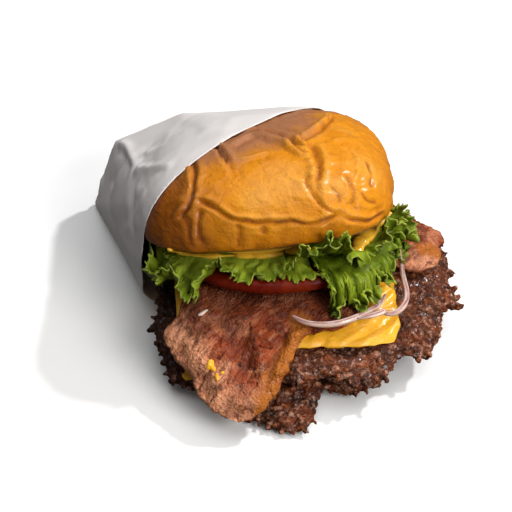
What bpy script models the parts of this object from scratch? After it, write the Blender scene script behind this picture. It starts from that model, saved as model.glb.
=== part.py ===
"""Bacon double cheeseburger, held in an open white paper sleeve.

The burger is built from the table upwards, the way it is put together by hand: bun heel, two
smashed patties pushed forward out of the bun, a slice of cheese, two rashers of bacon, tomato,
onion, frilly lettuce, sauce and the bun crown, tilted back. Each layer is draped over what lies
below it, and the paper is drawn tight over the back. Metres, +Z up. The origin is the middle of
the footprint on the table, and -Y is the open front.
"""

import math

import bmesh
import bpy
import numpy as np
from mathutils import Euler, Matrix, Vector, noise
from mathutils.bvhtree import BVHTree

MM = 0.001

# The roll is squarish. Plan places in this file are millimetres from the middle of its heel.
BUN_X, BUN_Y = 0.0 * MM, 18.6 * MM
BUN_HALF_WIDTH = 52.3 * MM
BUN_SQUARENESS = 3.1
HEEL_HEIGHT = 14 * MM
HEEL_INSET = 2.3 * MM

# Crown: its cut face is tilted back and rolled to the left. The bulge is its widest level.
CROWN_SHIFT = (-0.8 * MM, -4.6 * MM)
CROWN_CUT_HEIGHT = 35.2 * MM
CROWN_HEIGHT = 37.3 * MM
CROWN_BULGE_HEIGHT = 8.8 * MM
CROWN_SHOULDER, CROWN_DOME, CROWN_TUCK = 2.27, 2.22, 3.4
CROWN_TILT, CROWN_ROLL, CROWN_YAW = math.radians(-16.8), math.radians(-6), math.radians(1.6)
CROWN_CUTS = 10

# Thickness of each layer, and the clearance between neighbours.
PATTY = 5.6 * MM
CHEESE = 2.0 * MM
BACON = 2.2 * MM
BACON_BUCKLE = 1.6 * MM
TOMATO = 6.5 * MM
LEAF = 0.8 * MM
SAUCE = 2.6 * MM
ONION = 2.8 * MM
PAPER = 0.5 * MM
GAP = 0.4 * MM

# How a draped slice falls away from what holds it up: slope, then bend per metre.
PATTY_SAG = (0.13, 5.6)
CHEESE_SAG = (0.3, 10.0)
BACON_BEND = 8.0
TOMATO_SAG = (0.02, 1.0)

# Sleeve: its mouth is a plane across the back left of the bun, leaning forward at the top.
MOUTH_FOOT = (-51, -25)
MOUTH_NORMAL = (0.713, -0.687, -0.143)
FACET_ANGLE = math.radians(6.5)

# Corners of the sleeve's closed end in mm: left foot, top and shoulder, then right foot and top.
SLEEVE_END = ((-78, 44, 0.9), (-67, 48, 32), (-38, 44, 50), (44, 66, 0.9), (38, 60, 30))

# Lobes of a patty's rim: direction in degrees, half width in degrees, height in mm.
LOWER_LOBES = (
    (-84, 12, 4), (-66, 6, -12), (-45, 30, -5), (178, 35, -4), (-118, 14, -9), (-159, 5, 3), (-143, 4, 5),
)
UPPER_LOBES = (
    (-89, 4, -7), (-78, 6, 1), (-50, 8, -4), (-38, 3, 4), (-2, 8, 4), (6.5, 3, -5), (21, 13, 7),
)

# Outline of each rasher in mm.
FRONT_RASHER = (
    (-35, -53), (-37, -61), (-42, -64), (-42, -69), (-37, -77), (-30, -84), (-29, -90), (-23, -97),
    (-13, -103), (-7, -101), (1, -93), (6, -82), (14, -70), (30, -67), (38, -56), (30, -36), (-15, -34),
)
SIDE_RASHER = (
    (50, 11), (62, 2), (69, 1), (75, -5), (69.5, -12), (71, -20), (68, -27), (60, -33), (50, -33),
    (30, -28), (24, -12), (34, 6),
)

# Onion strips: name, centre of the arc in mm, radius in mm, and the two end angles.
ONION_STRIPS = (
    ("onion_front", (19.5, -42.5), 27.5, -114, -18),
    ("onion_side", (34.0, -46.5), 20.5, -66, 36),
)
ONION_POINTS = 19

# Frilled edge of each leaf in mm, from left to right.
LEFT_LEAF = (
    (-47, -33, 41), (-49, -40, 36), (-45, -50, 34.5), (-42.5, -50.5, 44), (-38, -53, 43), (-35, -56, 36),
    (-31, -59, 32.5), (-29, -57, 40), (-25, -55.5, 47), (-20, -56, 53), (-16, -56, 47), (-14, -55, 40),
    (-9, -57.5, 36.5), (-4, -55, 46), (0, -57, 39.5), (4, -55.5, 45), (9, -58, 38), (14, -57, 37),
    (18, -55, 44),
)
LOW_LEAF = (
    (17, -52, 42), (20, -56, 41), (22, -60, 36), (26, -66, 31.5), (30, -62, 37.5), (34.5, -64.5, 32),
    (37, -60, 38), (41, -59, 33), (43.5, -52, 41), (48.5, -49.5, 34.5), (49, -42, 43), (55, -37, 36.5),
    (53, -30, 46), (60.5, -28, 40), (55, -21, 46), (52, -12, 41),
)
HIGH_LEAF = (
    (6, -53, 42), (10, -55.5, 50), (14, -55, 58), (17.5, -57, 57), (21, -54.5, 64), (24.5, -56, 59.5),
    (28, -54, 63), (31, -56, 55), (34.5, -52, 47), (38.5, -48, 46), (42, -45, 52), (45, -41, 50),
    (48, -35, 54), (53, -31, 50), (52, -24, 54), (50, -18, 45),
)
LEAVES = (("lettuce_left", LEFT_LEAF, 2.2), ("lettuce_low", LOW_LEAF, 6.7), ("lettuce_high", HIGH_LEAF, 9.1))
LEAF_ROWS = 5
LEAF_FLAT_SHARE = 0.4

# Share of the outline and of the half thickness at each ring of a slice, from middle to rim.
PATTY_RINGS = ((0.0, 1.0), (0.34, 1.0), (0.62, 1.0), (0.84, 0.97), (0.96, 0.72), (1.0, 0.0))
ROUND_RINGS = ((0.0, 1.0), (0.5, 1.0), (0.87, 0.98), (0.975, 0.78), (1.0, 0.0))
THIN_RINGS = ((0.0, 1.0), (0.45, 1.0), (0.8, 1.0), (0.965, 0.85), (1.0, 0.0))

# Height field of the pile.
STEP = 1.5 * MM
HALF_SPAN = 126 * MM
AXIS = np.arange(-HALF_SPAN, HALF_SPAN + STEP / 2, STEP)
GRID_X, GRID_Y = np.meshgrid(AXIS, AXIS, indexing="ij")

# Colour in linear RGB, then roughness.
FINISHES = {
    "bread": ((0.62, 0.26, 0.045), 0.38),
    "bread_base": ((0.66, 0.36, 0.12), 0.6),
    "beef": ((0.085, 0.03, 0.016), 0.45),
    "cheese": ((0.9, 0.45, 0.05), 0.35),
    "bacon": ((0.33, 0.11, 0.055), 0.35),
    "tomato": ((0.36, 0.03, 0.015), 0.25),
    "onion": ((0.7, 0.5, 0.46), 0.3),
    "lettuce": ((0.14, 0.24, 0.03), 0.4),
    "sauce": ((0.66, 0.38, 0.06), 0.3),
    "paper": ((0.74, 0.73, 0.71), 0.8),
}


def clear_scene():
    for obj in list(bpy.data.objects):
        bpy.data.objects.remove(obj)


def finish_of(name):
    """The Principled material of one kind of food."""
    material = bpy.data.materials.get(name)
    if material is None:
        colour, roughness = FINISHES[name]
        material = bpy.data.materials.new(name)
        material.use_nodes = True
        shader = material.node_tree.nodes["Principled BSDF"]
        shader.inputs["Base Color"].default_value = (*colour, 1)
        shader.inputs["Roughness"].default_value = roughness
        shader.inputs["Metallic"].default_value = 0
    return material


def from_bun(dx, dy, dz=0.0):
    """A place given in millimetres from the middle of the heel."""
    return Vector((BUN_X + dx * MM, BUN_Y + dy * MM, dz * MM))


def add_object(name, bm, finish, collection, place):
    """An object standing at a place, from a mesh that was made where it belongs."""
    bm.normal_update()
    bmesh.ops.recalc_face_normals(bm, faces=bm.faces)
    mesh = bpy.data.meshes.new(name)
    bm.to_mesh(mesh)
    bm.free()
    mesh.transform(place.inverted())
    mesh.materials.append(finish_of(finish))
    mesh.shade_smooth()
    obj = bpy.data.objects.new(name, mesh)
    obj.matrix_world = place
    collection.objects.link(obj)
    return obj


def blurred(field, width):
    """The field after a Gaussian blur of that width."""
    reach = max(1, int(2.5 * width / STEP))
    weights = np.exp(-0.5 * (np.arange(-reach, reach + 1) * STEP / width) ** 2)
    weights /= weights.sum()
    for axis in (0, 1):
        padded = np.pad(field, [(reach, reach) if a == axis else (0, 0) for a in (0, 1)], "edge")
        field = np.apply_along_axis(np.convolve, axis, padded, weights, "valid")
    return field


def spread(field, reach, slope=0.0, bend=0.0):
    """The lowest surface over the field that falls away by slope and bend, as a limp slice does."""
    cells = int(math.ceil(reach / STEP))
    size = len(AXIS)
    padded = np.pad(field, cells, constant_values=field.min())
    result = field.copy()
    for i in range(-cells, cells + 1):
        for j in range(-cells, cells + 1):
            away = math.hypot(i, j) * STEP
            if away <= reach:
                moved = padded[cells + i : cells + i + size, cells + j : cells + j + size]
                np.maximum(result, moved - slope * away - bend * away * away, out=result)
    return result


def height_at(field, x, y):
    """The field read between its grid points."""
    u = np.clip((x + HALF_SPAN) / STEP, 0, len(AXIS) - 1.001)
    v = np.clip((y + HALF_SPAN) / STEP, 0, len(AXIS) - 1.001)
    i, j = int(u), int(v)
    a, b = u - i, v - j
    near = field[i, j] * (1 - b) + field[i, j + 1] * b
    far = field[i + 1, j] * (1 - b) + field[i + 1, j + 1] * b
    return float(near * (1 - a) + far * a)


def shell_field(bm, upwards):
    """Height of a mesh at each grid point, seen from below or from above, and NaN beside it."""
    points = np.array([v.co for v in bm.verts])
    low, high = points.min(0), points.max(0)
    tree = BVHTree.FromBMesh(bm)
    found = np.full(GRID_X.shape, np.nan)
    start, way = (-HALF_SPAN, Vector((0, 0, 1))) if upwards else (2 * HALF_SPAN, Vector((0, 0, -1)))
    for i in np.flatnonzero((AXIS >= low[0] - STEP) & (AXIS <= high[0] + STEP)):
        for j in np.flatnonzero((AXIS >= low[1] - STEP) & (AXIS <= high[1] + STEP)):
            hit = tree.ray_cast(Vector((AXIS[i], AXIS[j], start)), way)[0]
            if hit is not None:
                found[i, j] = hit.z
    return found


def seat(bm, pile):
    """Lifts the mesh wherever it comes closer to the pile than the gap."""
    below = spread(pile, 1.1 * STEP)
    for _ in range(10):
        short = np.nan_to_num(below + GAP - shell_field(bm, True), nan=0.0)
        if short.max() < 0.02 * MM:
            return
        lift = blurred(spread(np.maximum(short, 0), 5 * MM), 1.2 * MM) * 1.05
        for vert in bm.verts:
            vert.co.z += height_at(lift, vert.co.x, vert.co.y)


def world_mesh(obj):
    """The finished mesh of an object, where it stands."""
    bpy.context.view_layer.update()
    evaluated = obj.evaluated_get(bpy.context.evaluated_depsgraph_get())
    bm = bmesh.new()
    bm.from_mesh(evaluated.to_mesh())
    evaluated.to_mesh_clear()
    bm.transform(obj.matrix_world)
    return bm


def cover(pile, obj):
    """The pile with this object's top added."""
    bm = world_mesh(obj)
    top = shell_field(bm, False)
    bm.free()
    return np.fmax(pile, top)


def lumps(x, y, size, seed):
    """Even noise of that feature size, from -1 to 1."""
    return noise.noise(Vector((x / size, y / size, seed)))


def ragged_outline(radius, lobes, rag, seed):
    """A circle with lobes and a ragged edge, as a radius for each direction."""

    def reach(angle):
        out = radius
        for at, width, height in lobes:
            away = (math.degrees(angle) - at + 180) % 360 - 180
            out += height * MM * math.exp(-((away / width) ** 2))
        for detail in (5, 11, 19):
            spot = Vector((math.cos(angle) * detail, math.sin(angle) * detail, seed))
            out += rag * noise.noise(spot) * (5 / detail) ** 0.35
        return out

    return reach


def square_outline(half, squareness, turn):
    """A square with round corners, turned about its centre."""

    def reach(angle):
        c, s = abs(math.cos(angle - turn)), abs(math.sin(angle - turn))
        return half / (c**squareness + s**squareness) ** (1 / squareness)

    return reach


def drawn_outline(corners, centre, rag, seed):
    """A smooth closed outline through corners, which all see the centre."""
    places = [from_bun(x, y) - centre for x, y in corners]
    turns = sorted((math.atan2(p.y, p.x), p.length) for p in places)
    known = np.array([a + lap for lap in (-2 * math.pi, 0, 2 * math.pi) for a, _ in turns])
    radii = np.array([r for _ in range(3) for _, r in turns])
    fine = np.linspace(-2 * math.pi, 2 * math.pi, 721)
    window = np.hanning(9)[1:-1] / np.hanning(9).sum()
    values = np.convolve(np.pad(np.interp(fine, known, radii), 3, "edge"), window, "valid")

    def reach(angle):
        angle = (angle + math.pi) % (2 * math.pi) - math.pi
        spot = Vector((math.cos(angle) * 7, math.sin(angle) * 7, seed))
        return float(np.interp(angle, fine, values)) + rag * noise.noise(spot)

    return reach


def slab(centre, outline, thickness, bed, spokes, rings, relief=None, wave=None):
    """A slice of food: a sphere pressed flat to its outline and laid on the bed surface."""
    bm = bmesh.new()
    bands = 2 * (len(rings) - 1)
    bmesh.ops.create_uvsphere(bm, u_segments=spokes, v_segments=bands, radius=1)
    for vert in bm.verts:
        ring = round(math.acos(max(-1, min(1, vert.co.z))) / math.pi * bands)
        on_top = ring <= bands // 2
        share, half = rings[ring if on_top else bands - ring]
        angle = math.atan2(vert.co.y, vert.co.x)
        x = centre.x + share * outline(angle) * math.cos(angle)
        y = centre.y + share * outline(angle) * math.sin(angle)
        z = height_at(bed, x, y) + GAP + thickness * (0.5 + 0.5 * half * (1 if on_top else -1))
        if wave:
            z += wave(x, y)
        if relief and on_top:
            z += relief(x, y) * half
        vert.co = (x, y, z)
    return bm


def mouth_side(x, y, z=0.0):
    """Distance in front of the sleeve's mouth plane."""
    foot = from_bun(*MOUTH_FOOT)
    return (x - foot.x) * MOUTH_NORMAL[0] + (y - foot.y) * MOUTH_NORMAL[1] + z * MOUTH_NORMAL[2]


def table_field():
    """What the pile starts on: the table in front, and the sleeve's bottom sheet behind its mouth."""
    depth = np.clip(1.5 - mouth_side(GRID_X, GRID_Y) / (4 * MM), 0, 1)
    return -GAP + depth * (GAP + 0.1 * MM + PAPER)


def heel(collection):
    """The flat bottom of the roll. Its far side lies on the sleeve's bottom sheet."""
    centre = from_bun(0, -2)
    ahead = mouth_side(GRID_X, GRID_Y)
    bed = (PAPER + GAP) * (1 - (ahead - 2 * MM) / (64 * MM)) - GAP
    outline = square_outline(BUN_HALF_WIDTH - HEEL_INSET, BUN_SQUARENESS, CROWN_YAW)
    bm = slab(centre, outline, HEEL_HEIGHT, bed, 32, ROUND_RINGS)
    return add_object("bun_heel", bm, "bread_base", collection, Matrix.Translation(centre))


def patty(name, centre, radius, lobes, pile, collection, seed):
    """A thin smashed patty with a ragged, lacy rim, sagging from the bun to the table."""
    bed = blurred(spread(pile, 75 * MM, *PATTY_SAG), 2.5 * MM)
    outline = ragged_outline(radius * MM, lobes, 3.2 * MM, seed)

    def crags(x, y):
        return 0.9 * MM * lumps(x, y, 7 * MM, seed) + 0.5 * MM * lumps(x, y, 3.5 * MM, seed + 5)

    bm = slab(centre, outline, PATTY, bed, 78, PATTY_RINGS, relief=crags)
    seat(bm, pile)
    return add_object(name, bm, "beef", collection, Matrix.Translation(centre))


def cheese(pile, collection):
    """A square processed slice, softened so that it follows the meat."""
    centre = from_bun(4.6, -30.5)
    bed = blurred(spread(pile, 24 * MM, *CHEESE_SAG), 3.0 * MM)
    bm = slab(centre, square_outline(44 * MM, 11, math.radians(5)), CHEESE, bed, 44, THIN_RINGS)
    seat(bm, pile)
    return add_object("cheese_slice", bm, "cheese", collection, Matrix.Translation(centre))


def bacon(name, corners, centre, slope, pile, collection, seed):
    """A rasher of back bacon, wavy and bent down over the meat."""
    bed = blurred(spread(pile, 30 * MM, slope, BACON_BEND), 1.8 * MM)
    outline = drawn_outline(corners, centre, 1.2 * MM, seed)

    def buckle(x, y):
        wave = lumps(x, y, 17 * MM, seed) + 0.45 * lumps(x, y, 8 * MM, seed + 3)
        return BACON_BUCKLE * max(0.0, 0.25 + wave)

    def grain(x, y):
        return 0.5 * MM * lumps(x, y, 5 * MM, seed + 9)

    bm = slab(centre, outline, BACON, bed, 48, THIN_RINGS, relief=grain, wave=buckle)
    seat(bm, pile)
    return add_object(name, bm, "bacon", collection, Matrix.Translation(centre))


def tomato(pile, collection):
    """One broad slice of tomato with a rounded skin edge."""
    centre = from_bun(4, -22)
    half_long, half_wide = 46 * MM, 38.5 * MM
    bed = blurred(spread(pile, 45 * MM, *TOMATO_SAG), 3 * MM)

    def outline(angle):
        return 1 / math.hypot(math.cos(angle) / half_long, math.sin(angle) / half_wide)

    bm = slab(centre, outline, TOMATO, bed, 36, ROUND_RINGS)
    seat(bm, pile)
    return add_object("tomato_slice", bm, "tomato", collection, Matrix.Translation(centre))


def onion(name, centre, radius, start, end, pile, collection):
    """A thin strip cut from an onion ring, lying on the pile, with pointed ends."""
    bed = blurred(spread(pile, 6 * MM, 0.1), 1.5 * MM)
    curve = bpy.data.curves.new(name, "CURVE")
    curve.dimensions = "3D"
    curve.bevel_depth = ONION / 2
    curve.bevel_resolution = 1
    curve.use_fill_caps = True
    spline = curve.splines.new("POLY")
    spline.points.add(ONION_POINTS - 1)
    for n, point in enumerate(spline.points):
        share = n / (ONION_POINTS - 1)
        angle = math.radians(start + (end - start) * share)
        x, y = radius * MM * math.cos(angle), radius * MM * math.sin(angle)
        z = height_at(bed, centre.x + x, centre.y + y) + ONION / 2 + 2 * GAP
        point.co = (x, y, z, 1)
        point.radius = 0.35 + 0.65 * math.sin(math.pi * share) ** 0.4
    curve.materials.append(finish_of("onion"))
    obj = bpy.data.objects.new(name, curve)
    obj.location = centre
    collection.objects.link(obj)
    return obj


def crown_place():
    """Where the crown stands: the middle of its cut face, tilted."""
    shift = Matrix.Translation((BUN_X + CROWN_SHIFT[0], BUN_Y + CROWN_SHIFT[1], CROWN_CUT_HEIGHT))
    return shift @ Euler((CROWN_TILT, CROWN_ROLL, CROWN_YAW)).to_matrix().to_4x4()


def crown_plan(angle):
    """Half width of the crown in a direction, in its own frame."""
    return square_outline(BUN_HALF_WIDTH, BUN_SQUARENESS, 0)(angle)


def crown_profile(up):
    """Share of the half width and height over the cut face, up running from 1 at the top to -1."""
    across = math.sqrt(1 - up * up)
    if up >= 0:
        over = (CROWN_HEIGHT - CROWN_BULGE_HEIGHT) * up ** (2 / CROWN_DOME)
        return across ** (2 / CROWN_SHOULDER), CROWN_BULGE_HEIGHT + over
    return across ** (2 / CROWN_TUCK), CROWN_BULGE_HEIGHT * (1 - (-up) ** (2 / CROWN_TUCK))


def crown_share(height):
    """Share of the half width at a height over the cut face."""
    if height < CROWN_BULGE_HEIGHT:
        return (1 - (1 - height / CROWN_BULGE_HEIGHT) ** CROWN_TUCK) ** (1 / CROWN_TUCK)
    over = min(1.0, (height - CROWN_BULGE_HEIGHT) / (CROWN_HEIGHT - CROWN_BULGE_HEIGHT))
    return (1 - over**CROWN_DOME) ** (1 / CROWN_SHOULDER)


def crown_inside(margin):
    """Which grid points lie within the crown's outline grown by the margin."""
    away_x = np.abs(GRID_X - BUN_X - CROWN_SHIFT[0]) / (BUN_HALF_WIDTH + margin)
    away_y = np.abs(GRID_Y - BUN_Y - CROWN_SHIFT[1]) / (BUN_HALF_WIDTH + margin)
    return away_x**BUN_SQUARENESS + away_y**BUN_SQUARENESS < 1


def beside_crown(point, extra):
    """The point, pushed out sideways if it lies inside the crown or closer than extra."""
    local = crown_place().inverted() @ point
    if local.z < -extra:
        return point
    plan = math.hypot(local.x, local.y)
    share = max(crown_share(max(0.0, local.z)), 0.9)
    wanted = share * crown_plan(math.atan2(local.y, local.x)) + extra
    if plan < wanted:
        local.x *= wanted / plan
        local.y *= wanted / plan
    return crown_place() @ local


def frill(stations, share):
    """Place on a leaf's frilled edge, share of the way along it."""
    at = share * (len(stations) - 1)
    first = min(int(at), len(stations) - 2)
    ends = [Vector(stations[max(0, min(len(stations) - 1, first + k))]) for k in (-1, 0, 1, 2)]
    t = at - first
    bow = (ends[2] - ends[0]) * (t - 2 * t * t + t**3) + (ends[3] - ends[1]) * (t**3 - t * t)
    return from_bun(*(ends[1] * (1 - 3 * t * t + 2 * t**3) + ends[2] * (3 * t * t - 2 * t**3) + bow / 2))


def leaf_point(edge, out, bed, seed):
    """A place on a leaf, from out = 0 at its root under the bun to 1 at its frilled edge."""
    angle = math.atan2(edge.y - BUN_Y, edge.x - BUN_X)
    rim = crown_plan(angle - CROWN_YAW) - 6 * MM
    ruffle = max(0.0, (out - LEAF_FLAT_SHARE) / (1 - LEAF_FLAT_SHARE))
    radius = rim * (0.55 + 0.45 * min(1.0, out / LEAF_FLAT_SHARE))
    x, y = BUN_X + radius * math.cos(angle), BUN_Y + radius * math.sin(angle)
    x, y = x + (edge.x - x) * ruffle, y + (edge.y - y) * ruffle
    ground = height_at(bed, x, y) + LEAF + 1.5 * GAP
    if ruffle == 0:
        return Vector((x, y, ground))
    swell = ruffle * ruffle * (2.2 - 1.2 * ruffle)
    z = ground + (edge.z - ground) * swell + 1.0 * MM * swell * lumps(x, y, 5 * MM, seed)
    point = beside_crown(Vector((x, y, max(z, ground))), 1.8 * MM)
    point.z = max(point.z, height_at(bed, point.x, point.y) + LEAF + GAP)
    return point


def leaf(name, stations, pile, collection, seed):
    """A frilly leaf: flat under the bun, and ruffled where it comes out past the rim."""
    bed = blurred(spread(pile, 6 * MM, 0.2), 1.5 * MM)
    bm = bmesh.new()
    bmesh.ops.create_grid(bm, x_segments=3 * (len(stations) - 1), y_segments=LEAF_ROWS, size=0.5)
    for vert in bm.verts:
        vert.co = leaf_point(frill(stations, vert.co.x + 0.5), vert.co.y + 0.5, bed, seed)
    bmesh.ops.triangulate(bm, faces=bm.faces)
    obj = add_object(name, bm, "lettuce", collection, Matrix.Translation(from_bun(0, 0)))
    thick = obj.modifiers.new("leaf thickness", "SOLIDIFY")
    thick.thickness = LEAF
    thick.offset = 0
    return obj


def sauce(pile, collection):
    """A spread of sauce between the leaves and the crown, fuller at the front corners."""
    centre = from_bun(0, -9)
    bed = blurred(spread(pile, 8 * MM, 0.3), 2 * MM)
    outline = ragged_outline(36.5 * MM, ((-125, 14, 3), (-80, 16, 1), (-38, 14, 6)), 1.2 * MM, 4.4)
    bm = slab(centre, outline, SAUCE, bed, 32, THIN_RINGS)
    seat(bm, pile)
    return add_object("sauce", bm, "sauce", collection, Matrix.Translation(centre))


def crown(pile, collection):
    """The soft top of the roll: a squarish dome whose cut face gives way to the filling."""
    bm = bmesh.new()
    bmesh.ops.create_cube(bm, size=2)
    bmesh.ops.subdivide_edges(bm, edges=bm.edges, cuts=CROWN_CUTS, use_grid_fill=True)
    above = blurred(spread(pile, 10 * MM), 2 * MM)
    for vert in bm.verts:
        way = vert.co.normalized()
        angle = math.atan2(way.y, way.x)
        share, height = crown_profile(max(-1.0, min(1.0, way.z)))
        radius = share * crown_plan(angle)
        point = crown_place() @ Vector((radius * math.cos(angle), radius * math.sin(angle), height))
        rest = height_at(above, point.x, point.y) + GAP
        if way.z < -0.75:
            point.z = max(rest, point.z - 5 * MM)
        elif way.z < 0:
            point.z = max(point.z, rest)
        vert.co = point
    return add_object("bun_crown", bm, "bread", collection, crown_place())


def facet_directions(points):
    """Outward directions of the paper's flat facets: those of the tight skin, the largest first."""
    bm = bmesh.new()
    for point in points:
        bm.verts.new(point)
    bmesh.ops.convex_hull(bm, input=bm.verts)
    bm.normal_update()
    middle = Vector(points.mean(axis=0))
    found = [Vector((0, 0, -1)), Vector((0, 0, 1))]
    for face in sorted(bm.faces, key=lambda f: -f.calc_area()):
        way = face.normal.copy()
        if way.dot(face.calc_center_median() - middle) < 0:
            way.negate()
        if all(way.angle(other) > FACET_ANGLE for other in found):
            found.append(way)
    bm.free()
    return found


def taut_body(points, directions, margin):
    """The body bounded by one flat facet in each direction, that far outside all the points."""
    bm = bmesh.new()
    bmesh.ops.create_cube(bm, size=5 * HALF_SPAN)
    for way in directions:
        distance = float((points @ np.array(way)).max()) + margin
        geometry = bm.verts[:] + bm.edges[:] + bm.faces[:]
        cut = bmesh.ops.bisect_plane(
            bm, geom=geometry, dist=1e-6, plane_co=way * distance, plane_no=way, clear_outer=True
        )
        rim = [e for e in cut["geom_cut"] if isinstance(e, bmesh.types.BMEdge)]
        if rim:
            bmesh.ops.contextual_create(bm, geom=rim)
    return bm


def mouth_block():
    """Everything in front of the sleeve's mouth plane."""
    bm = bmesh.new()
    size = 4 * HALF_SPAN
    bmesh.ops.create_cube(bm, size=size)
    normal = Vector(MOUTH_NORMAL).normalized()
    turn = normal.to_track_quat("Z", "Y").to_matrix().to_4x4()
    bm.transform(Matrix.Translation(from_bun(*MOUTH_FOOT) + normal * size / 2) @ turn)
    return bm


def sleeve(wrapped, collection, cutters):
    """The paper sleeve: a taut skin over the back of the burger, open at its mouth plane."""
    points = [from_bun(x, y, z) for x, y, z in SLEEVE_END]
    for obj in wrapped:
        bm = world_mesh(obj)
        points += [v.co.copy() for v in bm.verts if mouth_side(*v.co) < 15 * MM]
        bm.free()
    points = np.array([(p.x, p.y, max(p.z, PAPER + GAP)) for p in points])
    directions = facet_directions(points)
    place = Matrix.Translation(from_bun(-30, 30))
    obj = add_object("paper_sleeve", taut_body(points, directions, GAP + PAPER), "paper", collection, place)
    hollow = add_object("sleeve_hollow", taut_body(points, directions, GAP), "paper", cutters, place)
    mouth = add_object("sleeve_mouth", mouth_block(), "paper", cutters, place)
    for cutter in (hollow, mouth):
        cutter.hide_render = True
        cutter.display_type = "WIRE"
        cut = obj.modifiers.new(cutter.name, "BOOLEAN")
        cut.operation = "DIFFERENCE"
        cut.object = cutter
    return obj


def main():
    clear_scene()
    burger = bpy.data.collections.new("bacon double cheeseburger")
    cutters = bpy.data.collections.new("cutters")
    for collection in (burger, cutters):
        bpy.context.scene.collection.children.link(collection)

    pieces = [heel(burger)]
    pile = cover(table_field(), pieces[-1])
    pieces.append(patty("patty_lower", from_bun(4, -42), 56, LOWER_LOBES, pile, burger, 11.3))
    pile = cover(pile, pieces[-1])
    pieces.append(patty("patty_upper", from_bun(19, -33), 55.5, UPPER_LOBES, pile, burger, 27.9))
    pile = cover(pile, pieces[-1])
    pieces.append(cheese(pile, burger))
    pile = cover(pile, pieces[-1])
    front = bacon("bacon_front", FRONT_RASHER, from_bun(-8, -66), 0.36, pile, burger, 3.1)
    side = bacon("bacon_side", SIDE_RASHER, from_bun(50, -16), 0.18, pile, burger, 8.4)
    pieces += [front, side]
    pile = cover(cover(pile, front), side)
    pieces.append(tomato(pile, burger))
    pile = cover(pile, pieces[-1])
    for name, middle, radius, start, end in ONION_STRIPS:
        pile = cover(pile, onion(name, from_bun(*middle), radius, start, end, pile, burger))

    # Under the crown the leaves lie flat. Past its rim their frills may stand beside it.
    bed = pile
    for name, stations, seed in LEAVES:
        pieces.append(leaf(name, stations, pile, burger, seed))
        pile = cover(pile, pieces[-1])
        bed = np.where(crown_inside(-8 * MM), pile, bed)
    pieces.append(sauce(bed, burger))
    pieces.append(crown(cover(bed, pieces[-1]), burger))
    sleeve(pieces, burger, cutters)


main()
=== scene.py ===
"""Dresses the bacon double cheeseburger: crust, seared beef, bacon, melted cheese, wet tomato,
onion, frilled lettuce, sauce and the creased paper sleeve, each built over the packed solids."""

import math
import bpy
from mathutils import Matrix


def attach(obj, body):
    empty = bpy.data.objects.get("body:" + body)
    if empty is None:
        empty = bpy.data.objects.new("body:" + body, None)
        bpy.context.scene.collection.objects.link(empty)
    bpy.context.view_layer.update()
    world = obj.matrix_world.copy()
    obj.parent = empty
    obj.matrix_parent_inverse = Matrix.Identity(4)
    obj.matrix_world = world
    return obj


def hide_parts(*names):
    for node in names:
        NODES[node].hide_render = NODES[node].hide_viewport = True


bl_info = {
    "name": "Burger dressing",
    "version": (1, 0, 0),
    "blender": (4, 5, 0),
    "location": "3D View > Sidebar > Burger",
    "description": "Builds the visible food and paper of a bacon double cheeseburger over its solids",
    "category": "Object",
}

import bmesh
import bpy
import numpy as np
from mathutils import Euler, Matrix, Vector, noise
from mathutils.bvhtree import BVHTree

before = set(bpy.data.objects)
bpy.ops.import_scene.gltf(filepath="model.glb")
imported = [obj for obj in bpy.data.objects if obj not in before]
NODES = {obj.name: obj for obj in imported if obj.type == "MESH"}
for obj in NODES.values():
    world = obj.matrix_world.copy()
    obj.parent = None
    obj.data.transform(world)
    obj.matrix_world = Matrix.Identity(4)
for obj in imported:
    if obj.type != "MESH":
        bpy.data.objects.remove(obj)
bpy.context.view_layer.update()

MM = 0.001
FLOOR_GAP = 0.02 * MM

# The roll: the middle of its heel, and the crown's size and tilt, as the solids have them.
BUN_X, BUN_Y = 0.0 * MM, 18.6 * MM
BUN_HALF_WIDTH = 52.3 * MM
BUN_SQUARENESS = 3.1
CROWN_SHIFT = (-0.8 * MM, -4.6 * MM)
CROWN_CUT_HEIGHT = 35.2 * MM
CROWN_HEIGHT = 37.3 * MM
CROWN_BULGE_HEIGHT = 8.8 * MM
CROWN_SHOULDER, CROWN_DOME, CROWN_TUCK = 2.27, 2.22, 3.4
CROWN_TILT, CROWN_ROLL, CROWN_YAW = math.radians(-16.8), math.radians(-6), math.radians(1.6)

# The picture's viewpoint. Picture places in this file are pixels of a 512 by 512 frame.
FRAME_PIXELS = 512
FOCAL_PIXELS = 1680
SENSOR = 36.0
VIEW_TARGET = Vector((-5.8 * MM, 2.6 * MM, 20 * MM))
VIEW_DISTANCE = 700 * MM
VIEW_ELEVATION = math.radians(40)

# Sleeve mouth: a plane across the back left of the bun.
MOUTH_FOOT = (-51, -25)
MOUTH_NORMAL = Vector((0.713, -0.687, -0.143)).normalized()

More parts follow.
